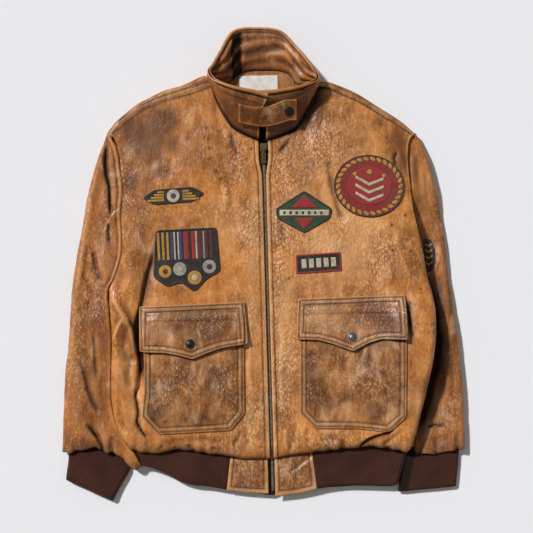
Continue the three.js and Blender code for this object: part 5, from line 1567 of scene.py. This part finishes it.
t.join(t.blend(t.band(soil, 0.42, 0.7), linear(248, 246, 240), linear(228, 222, 208)),
       shader.inputs["Base Color"])
t.bump(t.math("ADD", warp.outputs["Fac"], weft.outputs["Fac"]), 0.15, shader)
label_outline = rounded([(-40, 310), (23, 311), (23.5, 279), (-39.5, 278)], 1.5)
facing_tree = surface_of(facing)
label = patch(
    "label_patch",
    label_outline,
    lambda x, y: height_on(facing_tree, x, y) + 0.2,
    lambda x, y, d: 0.7 * swell((d + 0.3) / 1.2) - 0.25 * bell(d, 2, 0.7) + 0.25 * np.sin(x / 8 + y / 13),
    label_cloth,
    fine=1.2,
    coarse=2.0,
)
belongs(label, "label")
sewing("label_sewing", [inset_loop(label_outline, 2.0)], surface_of(label), label_cloth, pitch=2.6,
       long=2.0, thick=0.3)


# Throat strap: a dark leather tongue across the lapped collar ends, closed by one snap. The
# snap cap is black enamelled metal, a shallow dome with a rolled rim.
strap_leather = leather("strap_leather", (104, 60, 22), (70, 40, 16), (190, 126, 66), 280.0, drift=0.2,
                        clouds=0.4, shine=0.3)
STRAP_FROM = -41.0
STRAP_TO = 54.0
STRAP_LONG = 95.0
STRAP_WIDE = 31.0
STRAP_END_ROW = 6.5


def strap_at(u, w):
    """Plan of the strap: u from its sewn end to its snap end, w from its lower edge to its upper."""
    low = mix(229.0, 232.0, u) - 8.5 * np.sin(np.pi * unit(u * 1.15))
    high = mix(259.0, 266.0, u) - 9 * np.sin(np.pi * unit(u * 1.3))
    return mix(STRAP_FROM, STRAP_TO, u), mix(low, high, w)


u, w = np.meshgrid(np.linspace(0, 1, 72), np.linspace(0, 1, 26))
x, y = strap_at(u, w)
z = height_on(surface_of(collar), x, y, 30.0)
for _ in range(8):
    z = np.maximum(z, blurred(z, 3))
z = blurred(z, 4)
d = np.minimum(np.minimum(w, 1 - w) * STRAP_WIDE, np.minimum(u, 1 - u) * STRAP_LONG)
grid = np.stack([x, y, z + 3.2], axis=-1)
relief = -0.7 * bell(d, 3.6, 0.9) - 1.4 * (1 - swell(d / 2.2))
relief += hide_noise(grid, 23.0, [(24, 0.6), (9, 0.3)]) * ease(d / 4)
grid[..., 2] += relief
trough, ridge = hollow_shade_and_ridges(relief, 2, 0.8, 0.8)
marks = {
    "trough": unit(trough * 0.7 + 0.8 * bell(u * STRAP_LONG, STRAP_END_ROW, 1.1)),
    "rub": unit(0.5 * ridge + 0.7 * bell(d, 0, 2.4)),
}
strap = shell("throat_strap_tongue", grid, 2.2, strap_leather, marks)
belongs(strap, "throat_strap")
strap_tree = surface_of(strap)
row = np.linspace(0.04, 0.93, 60)
strap_rows = [np.column_stack(strap_at(row, share)) for share in (0.12, 0.88)]
strap_rows.append(np.column_stack([np.full(20, STRAP_FROM + STRAP_END_ROW), np.linspace(229, 254, 20)]))
sewing("throat_strap_sewing", strap_rows, strap_tree)


def snap_paint(name, lacquer, metal, sheen):
    """Lacquered cap, chipped to the metal."""
    m, t, shader = new_paint(name, Metallic=sheen)
    chip = t.noise(t.place((-1100, 0)), (-900, 100), Scale=420.0, Detail=5.0, Roughness=0.7)
    bare = t.band(chip, 0.62, 0.68)
    t.join(t.blend(bare, linear(*lacquer), linear(*metal)), shader.inputs["Base Color"])
    t.join(t.band(chip, 0.3, 0.7, 0.3, 0.46), shader.inputs["Roughness"])
    return m


black_snap = snap_paint("snap_enamel", (38, 36, 37), (120, 116, 110), 0.5)
grey_snap = snap_paint("worn_snap", (118, 118, 122), (176, 172, 166), 0.9)
SNAP_PROFILE = [(0.0, 3.0), (1.4, 2.93), (2.8, 2.68), (4.2, 2.2), (5.4, 1.5), (6.0, 1.7), (6.6, 1.8),
                (7.2, 1.45), (7.5, 0.9), (7.4, 0.0), (5.0, 0.0), (0.0, 0.0)]


def snap_cap(name, x, y, tree, node, paint=black_snap):
    """Turned cap, set square on the leather under it."""
    near = height_on(tree, x + np.array([0, -6, 6, 0, 0]), y + np.array([0, 0, 0, -6, 6]), 40.0)
    slope_x, slope_y = (near[2] - near[1]) / 12, (near[4] - near[3]) / 12
    z = near.mean() - 0.3
    sides = 48
    verts = []
    faces = []
    for r, h in SNAP_PROFILE:
        for k in range(sides):
            a = 2 * math.pi * k / sides
            dx, dy = max(r, 0.02) * math.cos(a), max(r, 0.02) * math.sin(a)
            verts.append((x + dx, y + dy, z + h + slope_x * dx + slope_y * dy))
    for i in range(len(SNAP_PROFILE) - 1):
        for k in range(sides):
            m = (k + 1) % sides
            faces.append([i * sides + k, (i + 1) * sides + k, (i + 1) * sides + m, i * sides + m])
    faces.append(list(range(sides)))
    faces.append([(len(SNAP_PROFILE) - 1) * sides + k for k in range(sides)][::-1])
    cap = link_mesh(name, verts, faces, paint)
    belongs(cap, node)
    return cap


snap_cap("strap_snap_cap", 41, 246, strap_tree, "strap_snap")


# Zip: two woven tapes sewn under the front edges, a row of small brass teeth up each, and a
# stamped slider with a hanging pull. The brass is tarnished brown with bright worn edges.
def brass(name, bright, dull):
    """Tarnished brass, mottled from bright to dull."""
    m, t, shader = new_paint(name, Metallic=0.7)
    tarnish = t.noise(t.place((-1100, 0)), (-900, 100), Scale=260.0, Detail=5.0, Roughness=0.65)
    tone = t.blend(t.band(tarnish, 0.38, 0.66), linear(*bright), linear(*dull))
    t.join(tone, shader.inputs["Base Color"])
    t.join(t.band(tarnish, 0.35, 0.65, 0.3, 0.52), shader.inputs["Roughness"])
    return m


tooth_brass = brass("tooth_brass", (184, 176, 158), (112, 102, 86))
slider_brass = brass("slider_brass", (126, 110, 76), (70, 60, 40))
tape_cloth, t, shader = new_paint("tape_cloth", Roughness=0.9)
place = t.place((-1100, 0))
twill = t.texture("Wave", place, (-900, 0), bands_direction="DIAGONAL", Scale=420.0)
dust = t.noise(place, (-900, -300), Scale=90.0, Detail=4.0)
t.join(t.blend(t.band(dust, 0.4, 0.7), linear(40, 28, 20), linear(66, 48, 34)),
       shader.inputs["Base Color"])
t.bump(twill.outputs["Fac"], 0.2, shader)
for node in ("zip_tape_right", "zip_tape_left"):
    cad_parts[node].data.materials.clear()
    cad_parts[node].data.materials.append(tape_cloth)


def zip_z(y):
    w = (HEM_Y - y) / (HEM_Y - TAB_LOW_Y)
    return TAB_Z - tab_fall(w) + (ZIP_Z - TAB_Z) * swell((y - HEM_Y - 5) / HEM_PUFF)


TOOTH_PITCH = 2.1
verts = []
faces = []
tooth = np.array([(-0.2, -0.55, -2.5), (2.7, -0.62, -2.5), (2.7, 0.62, -2.5), (-0.2, 0.55, -2.5),
                  (0.1, -0.4, -0.5), (2.4, -0.5, -0.35), (2.4, 0.5, -0.35), (0.1, 0.4, -0.5)])
box_faces = [(3, 2, 1, 0), (4, 5, 6, 7), (0, 1, 5, 4), (1, 2, 6, 5), (2, 3, 7, 6), (3, 0, 4, 7)]
for k, y in enumerate(np.arange(TAB_LOW_Y + 3, THROAT_Y - 6, TOOTH_PITCH / 2)):
    s = 1 if k % 2 else -1
    start = len(verts)
    p = tooth * np.array([s, 1, 1]) + np.array([zip_x(y) - 0.55 * s, y, zip_z(y) - 2.2])
    verts.extend(p)
    faces.extend([[start + i for i in (f if s > 0 else f[::-1])] for f in box_faces])
teeth = link_mesh("zip_teeth", verts, faces, tooth_brass)
teeth.data.polygons.foreach_set("use_smooth", [False] * len(teeth.data.polygons))
belongs(teeth, "zip_chain")
for node in ("zip_slider", "zip_pull"):
    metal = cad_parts[node]
    metal.data.materials.clear()
    metal.data.materials.append(slider_brass)
    soft = metal.modifiers.new("worn_edges", "BEVEL")
    soft.width = 0.35 * MM
    soft.segments = 2
    soft.limit_method = "ANGLE"
for side, s in (("right", -1), ("left", 1)):
    y = np.linspace(HEM_Y + 8, THROAT_Y - 4, 300)
    path = np.column_stack([zip_x(y) + s * (zip_half_gap(y) + ZIP_ROW), y])
    sewing(f"front_{side}_zip_sewing", [path], surface_of(fronts[side]))


# Pockets: a patch pocket on each front, its edge turned in and sewn in two rows, with a pointed
# two-layer flap sewn above it and closed by one snap. The leather here is darker with handling.
pockets = {
    "right": dict(
        body=[(-195, -84), (-195, -211), (-199, -248), (-173, -277), (-53, -270), (-31, -243), (-32, -80)],
        flap=[(-203, -69), (-31, -61), (-25, -129), (-69, -136), (-94, -145), (-115, -154), (-136, -148),
              (-159, -144), (-202, -143)],
        centre=(-115, -180),
        snap=(-119, -129),
        cap=black_snap,
        end_lift=2.6,
        seed=61.0,
        stain=[(-160, -96, 30, 16, 0.35), (-70, -110, 26, 14, 0.3), (-120, -250, 60, 18, 0.3),
               (-161, -256, 5, 3, 1.2)],
        deep=[(-110, -100, 80, 40, 0.7), (-90, -200, 40, 50, 0.5), (-170, -230, 30, 50, 0.6)],
        grain=[(-60, -190, 26, 40, 0.6), (-150, -200, 34, 30, 0.34), (-110, -86, 70, 14, 0.3)],
        pale=[(-165, -118, 26, 12, 0.4), (-60, -150, 20, 16, 0.5), (-120, -250, 60, 12, 0.3)],
    ),
    "left": dict(
        body=[(59, -72), (59, -243), (83, -267), (148, -267), (204, -272), (231, -248), (230, -68)],
        flap=[(56, -56), (229, -49), (232, -121), (191, -121), (171, -127), (145, -141), (112, -129),
              (89, -123), (53, -122)],
        centre=(145, -170),
        snap=(144, -118),
        cap=grey_snap,
        end_lift=6.0,
        seed=51.0,
        stain=[(180, -80, 46, 26, 0.85), (216, -110, 18, 24, 0.6), (120, -74, 26, 16, 0.4),
               (200, -160, 26, 30, 0.35)],
        deep=[(205, -110, 30, 40, 0.6), (75, -190, 24, 50, 0.7), (205, -200, 24, 60, 0.5),
              (150, -200, 50, 30, 0.3)],
        grain=[(150, -200, 60, 60, 0.26), (110, -90, 60, 30, 0.3), (190, -80, 40, 30, 0.35)],
        # Pale spots: painted sheen along the bag's creases, and rubbed places
        pale=[(96, -86, 44, 26, 0.8), (150, -104, 40, 12, 0.4), (143, -190, 8, 20, 0.75),
              (133, -234, 14, 13, 0.75), (174, -238, 12, 12, 0.75), (186, -222, 9, 9, 0.6),
              (141, -159, 8, 14, 0.55), (130, -141, 12, 6, 0.6), (90, -255, 16, 8, 0.5)],
    ),
}
pocket_leather = leather("pocket_leather", (168, 104, 46), (78, 45, 22), (212, 158, 106), drift=1.2,
                         clouds=1.2)
flap_leather = leather("flap_leather", (160, 100, 48), (76, 45, 24), (212, 160, 110), 300.0, clouds=1.0)
POCKET_WALL = 2.4
FLAP_WALL = 2.6
POCKET_ROWS = (3.4, 10.5)


def two_rows(d, wide):
    """Both rows of sewing along a pocket's edge."""
    return bell(d, POCKET_ROWS[0], wide) + bell(d, POCKET_ROWS[1], wide + 0.1)


def sewn_edge(d):
    """Rise of a turned edge, pulled in at its sewing and rounded off."""
    return 0.5 * ease((11 - d) / 2) - 0.9 * two_rows(d, 1.0) - 1.5 * (1 - swell((d + 0.2) / 2.4))


for side, pocket in pockets.items():
    panel_tree = surface_of(fronts[side])
    body_outline = rounded(pocket["body"], 4)
    flap_outline = rounded(pocket["flap"], 3.5)

    def pocket_under(x, y):
        cx, cy = pocket["centre"]
        bulge = 4 * ease(1 - np.abs(x - cx) / 92) * ease(1 - np.abs(y - cy) / 105)
        return height_on(panel_tree, x, y, 24.0) + 0.2 + bulge

    def pocket_relief(x, y, d):
        return crumple(x, y, pocket["seed"], [(40, 1.4), (17, 1.1), (8, 0.35)]) * ease(d / 16)

    def pocket_thick(x, y, d):
        return POCKET_WALL + sewn_edge(d) + np.clip(pocket_relief(x, y, d), -1.4, 3)

    def pocket_marks(x, y, d):
        lumps = pocket_relief(x, y, d)
        below, covered = edge_distance(flap_outline, x, y)
        # Painted shadow: full under the flap, fading just below its edge
        shade = np.where(covered, 1.0, bell(below, 0, 2.6))
        trough = 0.75 * two_rows(d, 1.2) + unit(-lumps) * 0.4 + shade
        rub = 0.7 * bell(d, 0, 2.2) + 0.45 * bell(d, 7, 2.4) + 0.3 * lumps
        return spot_marks(pocket, x, y, trough, rub)

    body = patch(f"pocket_{side}_bag", body_outline, pocket_under, pocket_thick, pocket_leather, fine=1.4,
                 coarse=2.6, marks=pocket_marks)
    belongs(body, f"pocket_{side}")
    bag_tree = surface_of(body, fronts[side])
    sewing(f"pocket_{side}_sewing", [inset_loop(body_outline, row) for row in POCKET_ROWS], bag_tree)

    def flap_under(x, y):
        end = pocket["flap"][2][0] - 40
        lift = 2.6 * ease((-85 - y) / 50) + pocket["end_lift"] * ease((x - end) / 40) * ease((-48 - y) / 34)
        return height_on(bag_tree, x, y, 24.0) + 0.3 + lift

    def flap_thick(x, y, d):
        lumps = crumple(x, y, pocket["seed"] + 20, [(34, 0.9), (14, 0.5)]) * ease(d / 14)
        return FLAP_WALL + sewn_edge(d) + np.clip(lumps, -1, 2)

    def flap_marks(x, y, d):
        rub = 0.85 * bell(d, 0, 2.4) + 0.5 * bell(d, 7, 2.4)
        return spot_marks(pocket, x, y, 0.75 * two_rows(d, 1.2), rub)

    flap = patch(f"flap_{side}_leaf", flap_outline, flap_under, flap_thick, flap_leather, fine=1.3,
                 coarse=2.4, marks=flap_marks)
    belongs(flap, f"flap_{side}")
    flap_tree = surface_of(flap)
    sewing(f"flap_{side}_sewing", [inset_loop(flap_outline, row) for row in POCKET_ROWS], flap_tree)
    snap_cap(f"snap_{side}_cap", *pocket["snap"], flap_tree, f"snap_{side}", pocket["cap"])


# Badges: machine-embroidered cloth, each a twill base with an overlocked border and raised
# satin-stitch shapes, sewn flat to the leather. Their designs are plain stripes and figures.
thread_group, t, gin, gout = make_group(
    "satin_thread",
    [("Color", COLOUR, (0.5, 0.5, 0.5, 1)), ("Turn", "NodeSocketVector", (0, 0, 0)), ("Soil", NUMBER, 0.4)],
    [("Color", COLOUR), ("Height", NUMBER)],
)
place = t.place((-1400, 300))
lay = t.node("ShaderNodeMapping", (-1200, 300))
t.join(place, lay.inputs["Vector"])
t.join(gin.outputs["Turn"], lay.inputs["Rotation"])
threads = t.texture("Wave", lay.outputs["Vector"], (-1000, 300), bands_direction="X", Scale=430.0,
                    Distortion=1.2, Detail=2.0, Detail_Scale=1.6)
grime = t.noise(place, (-1000, 0), Scale=90.0, Detail=4.0)
# Painted shade between the thread strands
between = t.band(threads.outputs["Fac"], 0.0, 0.6, 0.45, 0.0)
shade = t.blend(between, gin.outputs["Color"], (0.01, 0.007, 0.005, 1))
soil = t.math("MULTIPLY", t.band(grime, 0.42, 0.72), gin.outputs["Soil"])
t.join(t.blend(soil, shade, linear(88, 62, 42)), gout.inputs["Color"])
t.join(threads.outputs["Fac"], gout.inputs["Height"])

thread_shades = {}


def thread(name, colour, turn=0.0, border=None):
    """Embroidery in one colour, its threads lying at an angle; border is the overlocked edge's colour."""
    if name in thread_shades:
        return thread_shades[name]
    m, t, shader = new_paint(name, Roughness=0.55, Sheen_Weight=0.2)
    g = t.node("ShaderNodeGroup", (-600, 0), node_tree=thread_group, Turn=(0, 0, math.radians(turn)))
    g.inputs["Color"].default_value = linear(*colour)
    if border:
        edge = t.mark("edge", (-1000, 200))
        t.join(t.blend(edge, linear(*colour), linear(*border)), g.inputs["Color"])
    t.bump(g.outputs["Height"], 0.3, shader)
    t.join(g.outputs["Color"], shader.inputs["Base Color"])
    thread_shades[name] = m
    return m


BLACK = ("thread_black", (30, 27, 27), 90)
RED = ("thread_red", (176, 34, 32), 0)
MAROON = ("thread_maroon", (104, 26, 34), 0)
BLUE = ("thread_blue", (44, 66, 128), 0)
CREAM = ("thread_cream", (222, 208, 176), 0)
GOLD = ("thread_gold", (206, 156, 52), 20)
SILVER = ("thread_silver", (178, 178, 174), 70)


BADGE_THICK = 1.1


def badge(name, outline, tree, cloth, border):
    """Base cloth of a badge with its raised border, set on a panel; gives its top for the figures."""
    def under(x, y):
        return height_on(tree, x, y, 20.0) + 0.15

    def rim(x, y, d):
        return BADGE_THICK * swell((d + 0.3) / 0.9) + 0.5 * bell(d, 1.3, 1.0)

    piece = patch(f"badge_{name}_cloth", outline, under, rim, thread(f"{name}_cloth", cloth, border=border),
                  fine=0.9, coarse=1.8, border=4.0, marks=lambda x, y, d: {"edge": ease((2.7 - d) / 0.5)})
    belongs(piece, f"badge_{name}")
    xs, ys = [p[0] for p in outline], [p[1] for p in outline]
    area = 0.5 * abs(sum(a[0] * b[1] - b[0] * a[1] for a, b in zip(outline, [*outline[1:], outline[0]])))
    size = ((max(xs) - min(xs)) * MM, (max(ys) - min(ys)) * MM)
    return surface_of(piece)


def motifs(name, shapes, tree, shade, rise=0.55):
    """Raised satin-stitch figures of one thread colour, joined into one piece."""
    made = []
    for k, outline in enumerate(shapes):
        level = float(np.nanmedian(height_on(tree, *np.array(outline, float).T, np.nan)))
        made.append(patch(f"{name}_{k}", outline, lambda x, y: height_on(tree, x, y, level) - 0.1,
                          lambda x, y, d: 0.15 + rise * swell((d + 0.1) / 0.9), thread(*shade), fine=0.9,
                          coarse=1.6, border=2.0))
    piece = made[0]
    if len(made) > 1:
        with bpy.context.temp_override(active_object=piece, selected_editable_objects=made):
            bpy.ops.object.join()
    piece.name = name
    belongs(piece)
    return piece


def placed(points, at, turn=0.0, size=1.0):
    """Local outline moved to its place on the jacket."""
    c, s = math.cos(math.radians(turn)), math.sin(math.radians(turn))
    return [(at[0] + size * (x * c - y * s), at[1] + size * (x * s + y * c)) for x, y in points]


def block(x0, x1, y0, y1):
    return [(x0, y0), (x1, y0), (x1, y1), (x0, y1)]


def disc(r, n=28, squash=1.0):
    return [(r * math.cos(2 * math.pi * k / n), squash * r * math.sin(2 * math.pi * k / n)) for k in range(n)]


def chevron(wide, deep, thick):
    return [(-wide, 0), (0, -deep), (wide, 0), (wide, thick), (0, thick - deep), (-wide, thick)]


def discs(*each):
    """Round figures, each a radius and a centre."""
    return [placed(disc(r), (x, y)) for r, x, y in each]


right_tree = surface_of(fronts["right"])
left_tree = surface_of(fronts["left"])
arm_tree = surface_of(sleeves["left"])

outline = rounded([(-198, 107), (-178, 121), (-116, 126), (-95, 115), (-116, 101), (-178, 96)], 6)
top_tree = badge("lozenge", outline, right_tree, (34, 29, 26), (20, 18, 18))
wing_bars = []
for s in (-1, 1):
    for k in range(4):
        x0, x1 = sorted((s * 15, s * (42 - 5.5 * k)))
        bar = block(x0, x1, -8 + 4.4 * k, -4.6 + 4.4 * k)
        wing_bars.append(placed(bar, (-147, 111), 3))
motifs("badge_lozenge_bars", wing_bars, top_tree, GOLD)
motifs("badge_lozenge_disc", discs((10.5, -147, 111)), top_tree, CREAM, 0.8)
motifs("badge_lozenge_dot", discs((4.6, -147, 111)), top_tree, BLUE, 1.5)

outline = [(-176, 55), (-76, 60), (-70, -12), (-92, -24), (-112, -46), (-134, -30), (-156, -38),
           (-180, -22)]
top_tree = badge("ribbons", rounded(outline, 7), right_tree, (30, 28, 28), (18, 17, 17))
ribbon_bands = {
    "gold": (GOLD, [(-46, -42), (-38.5, -34.5), (-31, -27)]),
    "blue": (BLUE, [(-24, -19.5), (-9.5, -5)]),
    "cream": (CREAM, [(-18.8, -16.4), (-12.8, -10.4), (16.4, 19.2)]),
    "red": (RED, [(-3, 5), (10, 15.6)]),
    "maroon": (MAROON, [(20, 27.6), (32, 36), (39.6, 44)]),
    "silver": (SILVER, [(28.6, 31)]),
}
for colour, (shade, bands) in ribbon_bands.items():
    shapes = [placed(block(a, b, -1, 44), (-126, 9), 2.6) for a, b in bands]
    motifs(f"badge_ribbons_{colour}", shapes, top_tree, shade)
motifs("badge_ribbons_gold_discs", discs((10.5, -160, -12), (11.5, -112, -22)), top_tree, GOLD, 1.0)
motifs("badge_ribbons_silver_discs", discs((11, -136, -8), (11, -88, -4)), top_tree, SILVER, 1.0)
motifs("badge_ribbons_hubs", discs((4.6, -160, -12), (5, -88, -4)), top_tree, MAROON, 1.7)
motifs("badge_ribbons_rings", discs((5, -112, -22), (4.6, -136, -8)), top_tree, CREAM, 1.7)

outline = rounded([(66, 120), (112, 90), (108, 74), (66, 50), (22, 74), (19, 90)], 5)
top_tree = badge("diamond", outline, left_tree, (32, 72, 50), (22, 20, 20))
upper = placed([(0, 27), (21, 6), (-21, 6)], (66, 86))
lower = placed([(0, -28), (16, -9), (-16, -9)], (66, 84))
motifs("badge_diamond_core", [upper, lower], top_tree, RED)
motifs("badge_diamond_band", [placed(block(-40, 40, -5.5, 4), (66, 84.5))], top_tree, CREAM, 0.8)
shapes = [placed(block(-34 + 10 * k, -29 + 10 * k, -3.6, 2.2), (65, 84.4)) for k in range(7)]
motifs("badge_diamond_bars", shapes, top_tree, BLACK, 1.1)

outline = rounded([(52, 15), (125, 20), (127, -11), (53, -16)], 2.5)
top_tree = badge("bars", outline, left_tree, (28, 26, 27), (178, 36, 32))
shapes = [placed(block(-27 + 12 * k, -19 + 12 * k, -7.5, 7.5), (88.6, 2.2), 3.6) for k in range(5)]
motifs("badge_bars_blocks", shapes, top_tree, CREAM)

OVAL_X = 172
OVAL_Y = 127
ROPE_TURNS = 30
outline = placed(disc(1.0, 44, 0.88), (OVAL_X, OVAL_Y), -6, 58)
top_tree = badge("oval", outline, left_tree, (150, 28, 28), (24, 22, 22))
rope = []
for k in range(ROPE_TURNS):
    a = 2 * math.pi * k / ROPE_TURNS
    at = (OVAL_X + 51 * math.cos(a), OVAL_Y + 44.5 * math.sin(a))
    rope.append(placed(disc(4.9, 14, 0.62), at, math.degrees(a) + 55))
motifs("badge_oval_rope", rope, top_tree, GOLD, 0.9)
shapes = [placed(disc(36, 36, 0.86), (OVAL_X, OVAL_Y), -6)]
field = motifs("badge_oval_field", shapes, top_tree, RED, 0.5)
field_tree = surface_of(field)
shapes = [placed(chevron(23, 11, 5), (OVAL_X, 138 - 13 * k), -4) for k in range(3)]
motifs("badge_oval_chevrons", shapes, field_tree, CREAM, 0.7)
motifs("badge_oval_stars", discs((4.4, 172, 150), (3.2, 148, 147), (3.2, 196, 144)), field_tree, GOLD, 0.8)

outline = rounded([(262, 42), (275, 41), (281, 24), (282, 4), (276, -12), (266, -12)], 4)
top_tree = badge("sleeve", outline, arm_tree, (34, 34, 32), (22, 22, 20))
shapes = [placed(chevron(6.2, 4, 3.2), (271, 32 - 10 * k), 4) for k in range(4)]
motifs("badge_sleeve_stripes", shapes, top_tree, GOLD)
